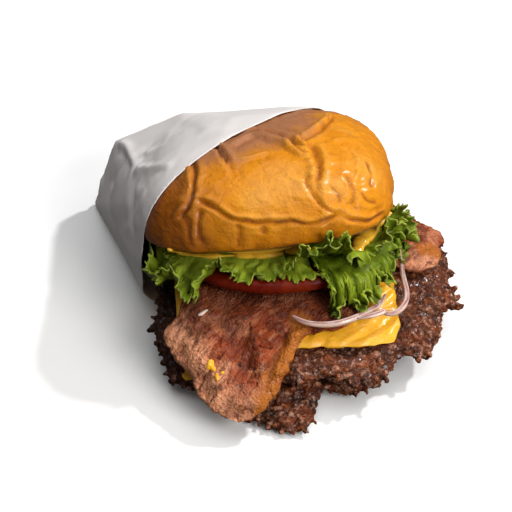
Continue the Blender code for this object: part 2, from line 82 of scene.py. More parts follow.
# Creases of the crust: height in mm, half width in mm, and the line in the picture.
CRUST_CREASES = (
    (
        -1.9, 1.0,
        ((222, 142), (232, 137), (247, 131), (262, 130), (275, 133), (288, 138), (298, 145), (313, 151)),
    ),
    (1.1, 1.8, ((226, 149), (238, 140), (254, 134), (270, 138), (284, 143), (296, 151), (306, 156))),
    (-1.2, 0.8, ((276, 127), (289, 129), (299, 134), (306, 142), (311, 150))),
    (1.3, 1.2, ((296, 141), (303, 135), (313, 129), (323, 122), (329, 113))),
    (-1.4, 0.9, ((301, 143), (312, 137), (322, 128), (333, 117))),
    (-1.4, 0.9, ((291, 137), (293, 146), (301, 152), (312, 153))),
    (-2.0, 1.5, ((309, 142), (316, 152), (319, 164), (319, 176), (313, 184))),
    (0.6, 1.5, ((305, 172), (317, 180), (323, 191), (326, 209))),
    (-1.0, 0.8, ((303, 176), (309, 190), (317, 199), (327, 210), (338, 214))),
    (-1.9, 1.1, ((192, 160), (195, 167), (195, 176), (193, 186), (193, 197), (187, 206), (178, 222))),
    (0.5, 2.6, ((186, 166), (187, 178), (184, 192), (176, 206))),
    (-1.5, 0.9, ((212, 142), (220, 152), (226, 161), (234, 170))),
    (0.9, 1.3, ((217, 141), (226, 150), (233, 159), (246, 158), (262, 154), (274, 151))),
    (
        0.5, 1.2,
        ((196, 196), (208, 198), (217, 201), (222, 209), (234, 215), (250, 219), (268, 218), (290, 217)),
    ),
    (0.5, 1.2, ((262, 219), (285, 218), (305, 220), (322, 218), (335, 210), (345, 206))),
    (-1.3, 0.8, ((194, 199), (206, 203), (215, 208), (224, 216), (238, 221), (256, 223), (280, 222))),
    (-0.9, 0.8, ((270, 223), (292, 221), (312, 224), (328, 221), (340, 213))),
    (0.6, 1.3, ((198, 193), (190, 202), (181, 208), (170, 218))),
    (-1.1, 1.1, ((203, 208), (198, 220), (199, 234), (203, 247))),
    (-0.6, 1.4, ((184, 214), (189, 228), (192, 243))),
    (-0.9, 1.5, ((236, 222), (240, 236), (238, 250))),
    (-1.0, 1.5, ((262, 224), (264, 236), (268, 250))),
    (0.5, 1.2, ((349, 146), (356, 158), (358, 170), (353, 184))),
    (-0.9, 0.9, ((344, 172), (350, 184), (354, 197), (351, 208))),
    (0.5, 1.2, ((333, 142), (344, 138), (354, 143), (362, 152))),
    (-0.6, 1.3, ((366, 160), (371, 174), (372, 190))),
    (0.4, 1.2, ((386, 208), (376, 214), (362, 218), (350, 213), (338, 207))),
    (-0.7, 0.9, ((384, 213), (370, 220), (354, 222), (340, 216))),
    (-0.4, 1.3, ((360, 190), (366, 200), (378, 204))),
    (-0.4, 1.2, ((330, 186), (338, 194), (340, 204))),
)

# Painted highlights on the crust: the place in the picture, and its radius in mm.
HIGHLIGHT_SPOTS = ((287, 182, 10), (332, 185, 5), (368, 168, 8), (345, 131, 4), (255, 200, 6))

# Folds of the front rasher, in the same way as the creases of the crust.
RASHER_FOLDS = (
    (-1.2, 1.5, ((291, 322), (286, 338), (278, 356), (270, 374), (265, 394))),
    (1.0, 2.6, ((296, 330), (290, 346), (282, 364), (273, 384))),
    (-1.5, 3.2, ((213, 314), (230, 334), (242, 356), (250, 382))),
    (1.3, 3.0, ((240, 316), (255, 334), (262, 355), (261, 378))),
    (1.2, 3.2, ((184, 338), (198, 356), (211, 374), (224, 396))),
    (-0.9, 1.4, ((230, 322), (248, 328), (262, 338), (274, 348))),
    (-0.9, 1.6, ((186, 316), (206, 326), (222, 344))),
    (0.9, 2.4, ((226, 398), (240, 404), (252, 400))),
)

# On each rasher: the line of its fat, the line of its paler meat, whose colour also carries painted light,
# and its charred holes with their radius in mm.
FRONT_MARKS = (
    ((301, 320), (295, 338), (286, 356), (277, 374), (269, 392), (262, 408)),
    ((172, 338), (180, 358), (194, 374), (202, 392), (222, 410), (246, 418)),
    ((250, 330, 1.1), (269, 347, 1.2), (259, 347, 0.8), (240, 362, 1.0), (255, 370, 1.2), (214, 320, 1.0)),
)
SIDE_MARKS = (
    ((424, 250), (430, 252), (434, 251)),
    ((421, 214), (430, 222), (438, 232), (441, 246), (432, 258), (416, 264)),
    ((412, 222, 1.2), (406, 258, 1.0)),
)

# How the folds of the cheese and the grain of the bacon are turned about the vertical.
CHEESE_FOLD_TURN = math.radians(-47)
BACON_GRAIN_TURN = math.radians(-57)

# Scraps: place in the picture, long and short radius in mm, and turn in degrees.
CHEESE_DROPS = (
    (210, 365, 2.4, 1.6, 60),
    (213, 369, 1.6, 1.1, 0),
    (217, 377, 2.2, 0.9, -15),
    (222, 373, 1.0, 0.7, 0),
)
CHEESE_CORNER = (
    (190, 376, 3.2, 1.8, 20),
    (194, 374, 3.4, 2.0, 50),
    (192, 371, 3.0, 1.7, -10),
    (187, 377, 1.7, 1.0, 80),
)
FAT_FLECK = ((203, 313, 2.6, 0.9, 40),)

# The browner part of the crust lies above this line of the picture.
TOAST_LINE = ((172, 186), (190, 168), (212, 166), (235, 161), (262, 152), (290, 143), (310, 134), (330, 112))

# Creases of the paper, in the same way.
PAPER_CREASES = (
    (1.6, 2.2, ((118, 143), (123, 144), (127, 149), (130, 158), (132, 165))),
    (1.2, 3.0, ((132, 166), (150, 167), (172, 168))),
    (-1.3, 4.0, ((138, 156), (150, 151), (162, 146))),
    (1.5, 4.5, ((142, 150), (155, 148), (165, 143))),
    (-0.8, 5.0, ((176, 120), (184, 126), (189, 134), (197, 142))),
    (0.9, 7.0, ((188, 116), (198, 124), (206, 134))),
    (1.0, 7.0, ((166, 128), (174, 136), (182, 145))),
    (-1.6, 3.0, ((124, 152), (118, 170), (110, 188))),
    (1.4, 3.0, ((108, 158), (104, 176), (99, 196))),
    (-1.2, 4.0, ((135, 176), (131, 205), (133, 235))),
    (0.8, 3.0, ((146, 180), (142, 210), (144, 240))),
)

# Frilled edge of each leaf in mm from the middle of the heel, as the solids have it.
LEFT_LEAF = (
    (-47, -33, 41), (-49, -40, 36), (-45, -50, 34.5), (-42.5, -50.5, 44), (-38, -53, 43), (-35, -56, 36),
    (-31, -59, 32.5), (-29, -57, 40), (-25, -55.5, 47), (-20, -56, 53), (-16, -56, 47), (-14, -55, 40),
    (-9, -57.5, 36.5), (-4, -55, 46), (0, -57, 39.5), (4, -55.5, 45), (9, -58, 38), (14, -57, 37),
    (18, -55, 44),
)
LOW_LEAF = (
    (17, -52, 42), (20, -56, 41), (22, -60, 36), (26, -66, 31.5), (30, -62, 37.5), (34.5, -64.5, 32),
    (37, -60, 38), (41, -59, 33), (43.5, -52, 41), (48.5, -49.5, 34.5), (49, -42, 43), (55, -37, 36.5),
    (53, -30, 46), (60.5, -28, 40), (55, -21, 46), (52, -12, 41),
)
HIGH_LEAF = (
    (6, -53, 42), (10, -55.5, 50), (14, -55, 58), (17.5, -57, 57), (21, -54.5, 64), (24.5, -56, 59.5),
    (28, -54, 63), (31, -56, 55), (34.5, -52, 47), (38.5, -48, 46), (42, -45, 52), (45, -41, 50),
    (48, -35, 54), (53, -31, 50), (52, -24, 54), (50, -18, 45),
)
LEAF_FLAT_SHARE = 0.4

# Columns to each side of a place on a leaf's edge, over which the edge is evened out.
EVEN_COLUMNS = range(-36, 37, 6)

# Sauce outside the bun: radius in mm and the line in the picture that it follows.
SAUCE_RUNS = (
    (1.3, ((170, 249), (178, 252), (190, 255), (205, 256), (222, 256), (242, 255))),
    (1.8, ((240, 255), (254, 256), (268, 255), (282, 253), (296, 251), (308, 249))),
    (3.0, ((372, 229), (368, 234), (363, 240), (359, 246), (357, 252))),
    (2.0, ((382, 222), (374, 227), (366, 233))),
    (1.6, ((391, 208), (389, 214), (386, 220))),
)

# Onion strips: centre in mm, and radius in mm.
ONION_ARCS = {"onion_front": ((19.5, -42.5), 27.5), "onion_side": ((34.0, -46.5), 20.5)}

# The thin end of the side strip: its arc in degrees, and how many beads it is made of.
TAIL_START, TAIL_SWEEP = -92, 30
TAIL_BEADS = 24

# Crumbs and spurs along the rim of each patty, and crumples of the paper.
RIM_CRUMBS = 150
CRUMPLES = 22


def from_bun(dx, dy, dz=0.0):
    """A place given in millimetres from the middle of the heel."""
    return Vector((BUN_X + dx * MM, BUN_Y + dy * MM, dz * MM))


def camera_place():
    """Where the camera stands and how it is turned."""
    back = Vector((0, -math.cos(VIEW_ELEVATION), math.sin(VIEW_ELEVATION)))
    turn = Matrix.Rotation(math.pi / 2 - VIEW_ELEVATION, 4, "X")
    return Matrix.Translation(VIEW_TARGET + back * VIEW_DISTANCE) @ turn


def seen_point(tree, u, v):
    """The point and normal of a surface that stands at this place of the picture, or None."""
    place = camera_place()
    half = FRAME_PIXELS / 2
    way = place.to_3x3() @ Vector(((u - half) / FOCAL_PIXELS, (half - v) / FOCAL_PIXELS, -1))
    hit, normal = tree.ray_cast(place.translation, way.normalized())[:2]
    return hit, normal


def mesh_tree(*meshes):
    """One search tree of several meshes."""
    bm = bmesh.new()
    for mesh in meshes:
        bm.from_mesh(mesh)
    tree = BVHTree.FromBMesh(bm)
    bm.free()
    return tree


def tree_of(*names):
    """One search tree of several CAD nodes."""
    return mesh_tree(*(NODES[name].data for name in names))


def node_skin(name):
    """A CAD node's skin as quads."""
    bm = bmesh.new()
    bm.from_mesh(NODES[name].data)
    bmesh.ops.remove_doubles(bm, verts=bm.verts, dist=0.005 * MM)
    bmesh.ops.join_triangles(
        bm, faces=bm.faces, angle_face_threshold=math.radians(60), angle_shape_threshold=math.radians(70)
    )
    bmesh.ops.recalc_face_normals(bm, faces=bm.faces)
    return bm


def opened(mesh):
    """A mesh as a bmesh, and the mesh itself is gone."""
    bm = bmesh.new()
    bm.from_mesh(mesh)
    bpy.data.meshes.remove(mesh)
    return bm


def closed(bm, name="work"):
    """A bmesh as a mesh."""
    mesh = bpy.data.meshes.new(name)
    bm.to_mesh(mesh)
    bm.free()
    return mesh


def placed(name, data):
    """A new object in the scene."""
    obj = bpy.data.objects.new(name, data)
    bpy.context.scene.collection.objects.link(obj)
    return obj


def modified(bm, *modifiers):
    """The mesh after these modifiers, each a type and its settings."""
    mesh = closed(bm)
    obj = placed("work", mesh)
    for kind, settings in modifiers:
        made = obj.modifiers.new(kind, kind)
        for key, value in settings.items():
            setattr(made, key, value)
    graph = bpy.context.evaluated_depsgraph_get()
    result = bpy.data.meshes.new_from_object(obj.evaluated_get(graph))
    bpy.data.objects.remove(obj)
    bpy.data.meshes.remove(mesh)
    return result


def smoother(levels):
    return "SUBSURF", {"levels": levels, "render_levels": levels}


def remesher(size):
    return "REMESH", {"mode": "VOXEL", "voxel_size": size}


def points_of(mesh):
    co = np.zeros(len(mesh.vertices) * 3)
    mesh.vertices.foreach_get("co", co)
    return co.reshape(-1, 3)


def normals_of(mesh):
    found = np.zeros(len(mesh.vertices) * 3)
    mesh.vertices.foreach_get("normal", found)
    return found.reshape(-1, 3)


def move_points(mesh, points):
    mesh.vertices.foreach_set("co", points.astype(np.float32).ravel())
    mesh.update()


def swell(mesh, heights):
    """Moves each vertex along its normal."""
    move_points(mesh, points_of(mesh) + normals_of(mesh) * heights[:, None])


def rest_on_floor(mesh):
    """Lifts what would reach under the floor."""
    points = points_of(mesh)
    points[:, 2] = np.maximum(points[:, 2], FLOOR_GAP)
    move_points(mesh, points)


def mark(mesh, name, values):
    """Stores a number for each vertex, which the materials read by name."""
    layer = mesh.attributes.new(name, "FLOAT", "POINT")
    layer.data.foreach_set("value", np.asarray(values, np.float32))


def lumps(points, size, seed):
    """Smooth noise from -1 to 1. Size is one length, or one for each axis."""
    scaled = points / np.asarray(size) + seed
    return np.array([noise.noise(Vector(p)) for p in scaled])


def grains(points, size, seed):
    """Packed rounded grains: 0 between them, and up to 1 in their middles."""
    scaled = points / size + seed
    found = np.array([noise.voronoi(Vector(p))[0][:2] for p in scaled])
    return np.clip((found[:, 1] - found[:, 0]) * 1.6, 0, 1) ** 0.6


def beside_line(points, normals, line):
    """Each point's distance from a line in space, signed by its side, and its share of the way along."""
    lengths = np.linalg.norm(np.diff(line, axis=0), axis=1)
    starts = np.concatenate(([0], np.cumsum(lengths)))
    best = np.full(len(points), np.inf)
    side, along = np.ones(len(points)), np.zeros(len(points))
    for a, b, start, length in zip(line[:-1], line[1:], starts, lengths):
        way = b - a
        share = np.clip((points - a) @ way / max(way @ way, 1e-12), 0, 1)
        off = points - (a + share[:, None] * way)
        far = np.linalg.norm(off, axis=1)
        nearer = far < best
        turn = np.einsum("ij,ij->i", np.cross(way, off), normals)
        best = np.where(nearer, far, best)
        side = np.where(nearer, np.where(turn < 0, -1, 1), side)
        along = np.where(nearer, (start + share * length) / starts[-1], along)
    return best * side, along


def line_on(tree, picture_line):
    """A picture line laid on a surface, with its corners rounded."""
    hits = [seen_point(tree, u, v)[0] for u, v in picture_line]
    line = np.array([list(h) for h in hits if h is not None])
    for _ in range(2 if len(line) > 2 else 0):
        cut = np.stack((0.75 * line[:-1] + 0.25 * line[1:], 0.25 * line[:-1] + 0.75 * line[1:]), 1)
        line = np.concatenate((line[:1], cut.reshape(-1, 3), line[-1:]))
    return line


def warped(points, size, amount, seed):
    """The points, each shifted by soft noise."""
    shift = [lumps(points, size, seed + k) for k in (0.0, 17.3, 31.7)]
    return points + amount * np.array(shift).T


def bell(far, span):
    """1 at no distance, and almost 0 two spans away."""
    return np.exp(-((far / span) ** 2))


def around(points, spot, radius):
    """How near each point is to a spot: 1 on it, and almost 0 two radii away."""
    return bell(np.linalg.norm(points - np.array(spot), axis=1), radius)


def turned_by(points, angle):
    """The points, turned about the vertical."""
    return points @ np.array(Matrix.Rotation(angle, 3, "Z")).T


def creased(mesh, tree, creases):
    """Height of all creases at each vertex, and how far inside a narrow crack it lies.

    A groove has a lip on each side, and a fold drops off on its right.
    """
    points, normals = points_of(mesh), normals_of(mesh)
    moved = warped(points, 6 * MM, 0.8 * MM, 2.0)
    height, crack = np.zeros(len(points)), np.zeros(len(points))
    for rise, width, picture_line in creases:
        line = line_on(tree, picture_line)
        if len(line) < 2:
            continue
        far, along = beside_line(moved, normals, line)
        ends = smooth_step(0, 0.14, along) * (1 - smooth_step(0.86, 1, along))
        span = width * MM * (0.85 + 0.35 * lumps(points, 7 * MM, 40 + rise))
        shape = bell(far, span)
        if rise < 0:
            shape -= 0.35 * bell(np.abs(far) - 2.4 * span, 1.6 * span)
            crack = np.maximum(crack, ends * (width < 2) * bell(far, 0.75 * span))
        else:
            shape -= 0.8 * bell(far + 1.9 * span, 1.5 * span)
        height += rise * MM * ends * shape
    return height, crack


def smooth_step(low, high, values):
    t = np.clip((values - low) / (high - low), 0, 1)
    return t * t * (3 - 2 * t)


def add_piece(name, mesh, finish, slot, *nodes):
    """Shows a mesh in place of CAD nodes, riding on the one body."""
    mesh.name = name
    mesh.materials.clear()
    mesh.materials.append(finish)
    mesh.polygons.foreach_set("use_smooth", [True] * len(mesh.polygons))
    obj = placed(name, mesh)
    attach(obj, "root")
    if nodes:
        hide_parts(*nodes)
    return obj


def crown_place():
    """Where the crown stands: the middle of its cut face, tilted."""
    shift = Matrix.Translation((BUN_X + CROWN_SHIFT[0], BUN_Y + CROWN_SHIFT[1], CROWN_CUT_HEIGHT))
    return shift @ Euler((CROWN_TILT, CROWN_ROLL, CROWN_YAW)).to_matrix().to_4x4()


def crown_plan(angle):
    """Half width of the crown in a direction, in its own frame."""
    c, s = abs(math.cos(angle)), abs(math.sin(angle))
    return BUN_HALF_WIDTH / (c**BUN_SQUARENESS + s**BUN_SQUARENESS) ** (1 / BUN_SQUARENESS)


def crown_share(height):
    """Share of the half width at a height over the cut face."""
    if height < CROWN_BULGE_HEIGHT:
        return (1 - (1 - height / CROWN_BULGE_HEIGHT) ** CROWN_TUCK) ** (1 / CROWN_TUCK)
    over = min(1.0, (height - CROWN_BULGE_HEIGHT) / (CROWN_HEIGHT - CROWN_BULGE_HEIGHT))
    return (1 - over**CROWN_DOME) ** (1 / CROWN_SHOULDER)


def beside_crown(point, extra):
    """The point, pushed out sideways if it lies inside the crown or closer than extra."""
    local = crown_place().inverted() @ point
    if local.z < -extra:
        return point
    plan = math.hypot(local.x, local.y)
    share = max(crown_share(max(0.0, local.z)), 0.9)
    wanted = share * crown_plan(math.atan2(local.y, local.x)) + extra
    if plan < wanted:
        local.x *= wanted / plan
        local.y *= wanted / plan
    return crown_place() @ local


class Recipe:
    """Builds the nodes of one material."""

    def __init__(self, name, **sockets):
        self.material = bpy.data.materials.new(name)
        self.material.use_nodes = True
        self.tree = self.material.node_tree
        self.shader = self.tree.nodes["Principled BSDF"]
        for socket, value in sockets.items():
            self.shader.inputs[socket.replace("_", " ")].default_value = value

    def node(self, kind, inputs=None, **settings):
        made = self.tree.nodes.new(kind)
        for key, value in settings.items():
            setattr(made, key, value)
        for key, value in (inputs or {}).items():
            if isinstance(value, bpy.types.NodeSocket):
                self.tree.links.new(value, made.inputs[key])
            else:
                made.inputs[key].default_value = value
        return made

    def place(self, stretch=(1, 1, 1), turn=(0, 0, 0)):
        """Object coordinates, turned and then stretched."""
        where = self.node("ShaderNodeTexCoord").outputs["Object"]
        where = self.node("ShaderNodeMapping", {"Vector": where, "Rotation": turn}).outputs["Vector"]
        return self.node("ShaderNodeMapping", {"Vector": where, "Scale": stretch}).outputs["Vector"]

    def noise(self, scale, detail=3.0, rough=0.5, where=None, twist=0.0):
        inputs = {"Scale": scale, "Detail": detail, "Roughness": rough, "Distortion": twist}
        inputs["Vector"] = where or self.place()
        return self.node("ShaderNodeTexNoise", inputs).outputs["Fac"]

    def levels(self, value, low, high, bottom=0.0, top=1.0):
        inputs = {"Value": value, "From Min": low, "From Max": high, "To Min": bottom, "To Max": top}
        return self.node("ShaderNodeMapRange", inputs).outputs["Result"]

    def ramp(self, value, *stops):
        made = self.node("ShaderNodeValToRGB", {"Fac": value})
        band = made.color_ramp
        while len(band.elements) < len(stops):
            band.elements.new(0.5)
        for element, (at, colour) in zip(band.elements, stops):
            element.position = at
            element.color = (*colour, 1)
        return made.outputs["Color"]

    def mix(self, share, a, b):
        made = self.node("ShaderNodeMix", data_type="RGBA")
        for index, value in ((0, share), (6, a), (7, b)):
            if isinstance(value, bpy.types.NodeSocket):
                self.tree.links.new(value, made.inputs[index])
            else:
                made.inputs[index].default_value = value if index == 0 else (*value, 1)
        return made.outputs[2]

    def maths(self, operation, a, b):
        return self.node("ShaderNodeMath", {0: a, 1: b}, operation=operation).outputs[0]

    def times(self, a, b):
        return self.maths("MULTIPLY", a, b)

    def attribute(self, name):
        return self.node("ShaderNodeAttribute", attribute_name=name).outputs["Fac"]

    def group(self, tree, **inputs):
        made = self.node("ShaderNodeGroup", node_tree=tree)
        for key, value in inputs.items():
            made.inputs[key].default_value = value
        return made

    def mottle(self, size, low, high):
        return self.group(mottle_group(), Size=size, Low=low, High=high).outputs["Mask"]

    def grease(self, size, wet, dry):
        return self.group(grease_group(), Size=size, Wet=wet, Dry=dry).outputs["Roughness"]

    def pores(self, size, pits):
        return self.group(pores_group(), Size=size, Pits=pits).outputs["Height"]

    def patched(self, colour, other, share, size, low, high):
        """The colour, with soft patches of another one."""
        return self.mix(self.times(self.mottle(size, low, high), share), colour, other)

    def tinted(self, colour, other, share, name):
        """The colour, with another one where this mark is."""
        return self.mix(self.times(self.attribute(name), share), colour, other)

    def bump(self, height, distance, strength=1.0, normal=None):
        inputs = {"Height": height, "Distance": distance, "Strength": strength}
        if normal is not None:
            inputs["Normal"] = normal
        return self.node("ShaderNodeBump", inputs).outputs["Normal"]

    def done(self, colour, roughness=None, normal=None, coat=None):
        links = {"Base Color": colour, "Roughness": roughness, "Normal": normal, "Coat Weight": coat}
        for socket, value in links.items():
            if value is not None:
                self.tree.links.new(value, self.shader.inputs[socket])
        return self.material


def node_group(name, sockets, output):
    """An empty shader group with float inputs and one output."""
    tree = bpy.data.node_groups.new(name, "ShaderNodeTree")
    for socket, default in sockets:
        made = tree.interface.new_socket(name=socket, in_out="INPUT", socket_type="NodeSocketFloat")
        made.default_value = default
    tree.interface.new_socket(name=output, in_out="OUTPUT", socket_type="NodeSocketFloat")
    inlet = tree.nodes.new("NodeGroupInput")
    outlet = tree.nodes.new("NodeGroupOutput")
    where = tree.nodes.new("ShaderNodeTexCoord").outputs["Object"]
    return tree, inlet, outlet, where


def patches_group(name, output, ends, detail, rough=0.5, band=(0.0, 1.0), curve="LINEAR"):
    """Soft patches. Size is patches per metre, and each end has a socket, its target and a value."""
    tree = bpy.data.node_groups.get(name)
    if tree:
        return tree
    sockets = [("Size", 100.0)] + [(socket, value) for socket, _, value in ends]
    tree, inlet, outlet, where = node_group(name, sockets, output)
    patches = tree.nodes.new("ShaderNodeTexNoise")
    patches.inputs["Detail"].default_value = detail
    patches.inputs["Roughness"].default_value = rough
    spread = tree.nodes.new("ShaderNodeMapRange")
    spread.interpolation_type = curve
    spread.inputs["From Min"].default_value = band[0]
    spread.inputs["From Max"].default_value = band[1]
    tree.links.new(where, patches.inputs["Vector"])
    tree.links.new(inlet.outputs["Size"], patches.inputs["Scale"])
    tree.links.new(patches.outputs["Fac"], spread.inputs["Value"])
    for socket, target, _ in ends:
        tree.links.new(inlet.outputs[socket], spread.inputs[target])
    tree.links.new(spread.outputs["Result"], outlet.inputs[output])
    return tree


def mottle_group():
    """Uneven tone: a mask of soft patches."""
    ends = (("Low", "From Min", 0.35), ("High", "From Max", 0.65))
    return patches_group("mottle", "Mask", ends, 5, 0.6, curve="SMOOTHSTEP")


def grease_group():
    """Grease: roughness that runs from wet patches to dry ones."""
    ends = (("Wet", "To Min", 0.15), ("Dry", "To Max", 0.5))
    return patches_group("grease", "Roughness", ends, 4, band=(0.38, 0.62))


def pores_group():
    """Fine relief: pits between small cells over soft grain. Size is cells per metre."""
    tree = bpy.data.node_groups.get("pores")
    if tree:
        return tree
    tree, inlet, outlet, where = node_group("pores", (("Size", 900.0), ("Pits", 0.5)), "Height")
    grain = tree.nodes.new("ShaderNodeTexNoise")
    grain.inputs["Detail"].default_value = 4
    pits = tree.nodes.new("ShaderNodeTexVoronoi")
    share = tree.nodes.new("ShaderNodeMix")
    for made in (grain, pits):
        tree.links.new(where, made.inputs["Vector"])
        tree.links.new(inlet.outputs["Size"], made.inputs["Scale"])
    tree.links.new(inlet.outputs["Pits"], share.inputs[0])
    tree.links.new(grain.outputs["Fac"], share.inputs[2])
    tree.links.new(pits.outputs["Distance"], share.inputs[3])
    tree.links.new(share.outputs[0], outlet.inputs["Height"])
    return tree


def colour_prop(name, description, default):
    return bpy.props.FloatVectorProperty(
        name=name, description=description, default=default, subtype="COLOR", size=3, min=0, max=1
    )


def length_prop(name, description, default):
    return bpy.props.FloatProperty(
        name=name, description=description, default=default, unit="LENGTH", subtype="DISTANCE", precision=5
    )


def power_prop(name, description, default):
    return bpy.props.FloatProperty(name=name, description=description, default=default, unit="POWER")


class BreadSettings(bpy.types.PropertyGroup):
    """The roll."""

    gold: colour_prop("Gold", "Crust where it is least baked", (0.69, 0.25, 0.004))
    deep_gold: colour_prop("Deep gold", "Crust near its lower edge", (0.58, 0.17, 0.004))
    brown: colour_prop("Brown", "Crust where it is most baked", (0.34, 0.145, 0.07))
    crumb: colour_prop("Crumb", "Pale soft side of the heel", (0.74, 0.46, 0.17))
    crease_height: bpy.props.FloatProperty(
        name="Creases", description="How deep the creases of the crust are", default=1.0, min=0, max=2
    )


class BeefSettings(bpy.types.PropertyGroup):
    """The patties."""

    # Painted light and shade: the crest colour stands for lit crests, and the nearly black hollow colour for
    # shade in the hollows.
    lit: colour_prop("Crests", "Seared meat where it stands out", (0.28, 0.078, 0.024))
    deep: colour_prop("Hollows", "Meat in the hollows", (0.012, 0.004, 0.0025))
    grain: length_prop("Grain", "Size of a grain of meat", 3.5 * MM)
    relief: length_prop("Relief", "How far the grains stand out", 1.25 * MM)


class FillingSettings(bpy.types.PropertyGroup):
    """Cheese, bacon, tomato, onion, lettuce and sauce."""

    cheese: colour_prop("Cheese", "Melted processed cheese", (0.86, 0.44, 0.022))
    lean: colour_prop("Lean", "Lean part of the bacon", (0.27, 0.042, 0.007))
    # Partly the paler cured meat and partly painted light: brightened to stand for the light on the front
    # rasher's left part.
    cured: colour_prop("Cured", "Paler cured meat of the bacon", (0.7, 0.3, 0.155))
    fat: colour_prop("Fat", "Fried fat at the bacon's edge", (0.4, 0.12, 0.014))
    tomato: colour_prop("Tomato", "Skin of the tomato", (0.11, 0.004, 0.001))
    onion: colour_prop("Onion", "Flesh of the onion", (0.7, 0.49, 0.41))
    leaf: colour_prop("Leaf", "Lettuce in the middle of the leaf", (0.1, 0.145, 0.005))
    # Painted light: a lighter copy of the leaf colour for the left leaf, which stands in the light.
    leaf_lit: colour_prop("Pale leaf", "Middle of the paler leaf at the left", (0.27, 0.34, 0.025))
    leaf_edge: colour_prop("Leaf edge", "Lettuce at its frilled edge", (0.27, 0.35, 0.02))
    sauce: colour_prop("Sauce", "Mustard sauce", (0.78, 0.43, 0.03))


class PaperSettings(bpy.types.PropertyGroup):
    """The sleeve."""

    white: colour_prop("White", "The paper", (0.7, 0.665, 0.645))
    thickness: length_prop("Thickness", "Thickness of the paper", 0.35 * MM)


class StageSettings(bpy.types.PropertyGroup):
    """Floor and light."""

    floor: colour_prop("Floor", "The pale floor", (0.9, 0.9, 0.9))
    key: power_prop("Key", "Power of the soft key light", 25.0)
    overhead: power_prop("Overhead", "Power of the large light overhead", 12.0)
    sun: bpy.props.FloatProperty(name="Sun", description="Strength of the light from behind", default=1.9)
    fill: bpy.props.FloatProperty(name="Fill", description="Strength of the light all round", default=0.12)


def crust_finish(settings):
    """Glazed crust: gold, browner on top, with fine wrinkles; painted shade in its creases and on its left
    side, and painted highlights at a few spots and on its raised creases.
    """
    r = Recipe("crust", Coat_Roughness=0.24, Specular_IOR_Level=0.1)
    colour = r.patched(settings.gold, settings.deep_gold, 0.35, 42.0, 0.36, 0.64)
    colour = r.tinted(colour, settings.deep_gold, 0.4, "foot")
    # Painted highlight at the listed spots and on the raised creases.
    colour = r.tinted(colour, (0.82, 0.42, 0.07), 0.45, "pale")
    colour = r.tinted(colour, settings.brown, 0.95, "toast")
    colour = r.patched(colour, (0.36, 0.09, 0.005), 0.25, 240.0, 0.3, 0.75)
    colour = r.patched(colour, (0.36, 0.12, 0.012), 0.5, 1300.0, 0.5, 0.75)
    # Painted shade on the crust's left side.
    colour = r.tinted(colour, (0.2, 0.045, 0.003), 0.8, "dark")
    # Painted shade in the creases.
    colour = r.mix(r.levels(r.attribute("groove"), 0.1, 1.0, 0.0, 0.75), colour, (0.2, 0.045, 0.008))
    wrinkles = r.noise(130, 6, 0.65, r.place((1.0, 1.0, 1.5)), 1.2)
    normal = r.bump(wrinkles, 1.4 * MM, 0.6)
    normal = r.bump(r.noise(420, 4, 0.6), 0.45 * MM, 0.5, normal)
    normal = r.bump(r.pores(1100.0, 0.4), 0.2 * MM, 0.8, normal)
    coat = r.times(r.mottle(60.0, 0.25, 0.7), 0.45)
    return r.done(colour, r.grease(90.0, 0.32, 0.5), normal, coat)


def crumb_finish(settings):
    """Pale soft bread."""
    r = Recipe("soft_bread", Subsurface_Weight=0.1, Subsurface_Scale=0.003)
    colour = r.mix(r.mottle(70.0, 0.35, 0.65), settings.crumb, settings.gold)
    return r.done(colour, r.grease(80.0, 0.5, 0.8), r.bump(r.pores(700.0, 0.6), 0.4 * MM, 0.7))


def beef_finish(settings):
    """Seared ground beef wet with fat: brown crests and dark hollows painted as light and shade, pale flecks
    on the crests that are partly fat and partly painted highlight, and painted shade on its left side.
    """
    r = Recipe("seared_beef", Specular_IOR_Level=0.15, Coat_Roughness=0.22)
    crest = r.attribute("crest")
    # Painted shade in the hollows and painted light on the crests.
    colour = r.ramp(crest, (0.15, settings.deep), (0.5, (0.085, 0.022, 0.007)), (0.95, settings.lit))
    colour = r.patched(colour, (0.16, 0.032, 0.007), 0.5, 130.0, 0.42, 0.62)
    colour = r.patched(colour, (0.03, 0.007, 0.003), 0.7, 230.0, 0.5, 0.6)
    # Pale flecks on the crests: partly fat, partly a painted highlight.
    colour = r.patched(colour, (0.5, 0.26, 0.17), r.times(crest, 0.95), 430.0, 0.52, 0.62)
    # Painted shade on the patties' left side.
    colour = r.tinted(colour, (0.016, 0.005, 0.002), 0.8, "painted_shade_left")
    normal = r.bump(r.pores(1000.0, 0.65), 0.7 * MM, 0.9)
    wet = r.times(r.mottle(330.0, 0.52, 0.64), 0.7)
    return r.done(colour, r.grease(420.0, 0.16, 0.75), normal, wet)


def cheese_finish(settings):
    """Melted cheese: even yellow with soft gloss."""
    r = Recipe("melted_cheese", Subsurface_Weight=0.1, Subsurface_Scale=0.002, Specular_IOR_Level=0.3)
    colour = r.patched(settings.cheese, (0.75, 0.27, 0.012), 0.35, 90.0, 0.35, 0.7)
    colour = r.patched(colour, (0.35, 0.1, 0.01), 0.5, 900.0, 0.66, 0.74)
    relief = r.noise(170, 3, 0.5, r.place((0.3, 1.0, 1.0), (0, 0, CHEESE_FOLD_TURN)), 0.8)
    return r.done(colour, r.grease(200.0, 0.2, 0.42), r.bump(relief, 0.9 * MM, 0.6))


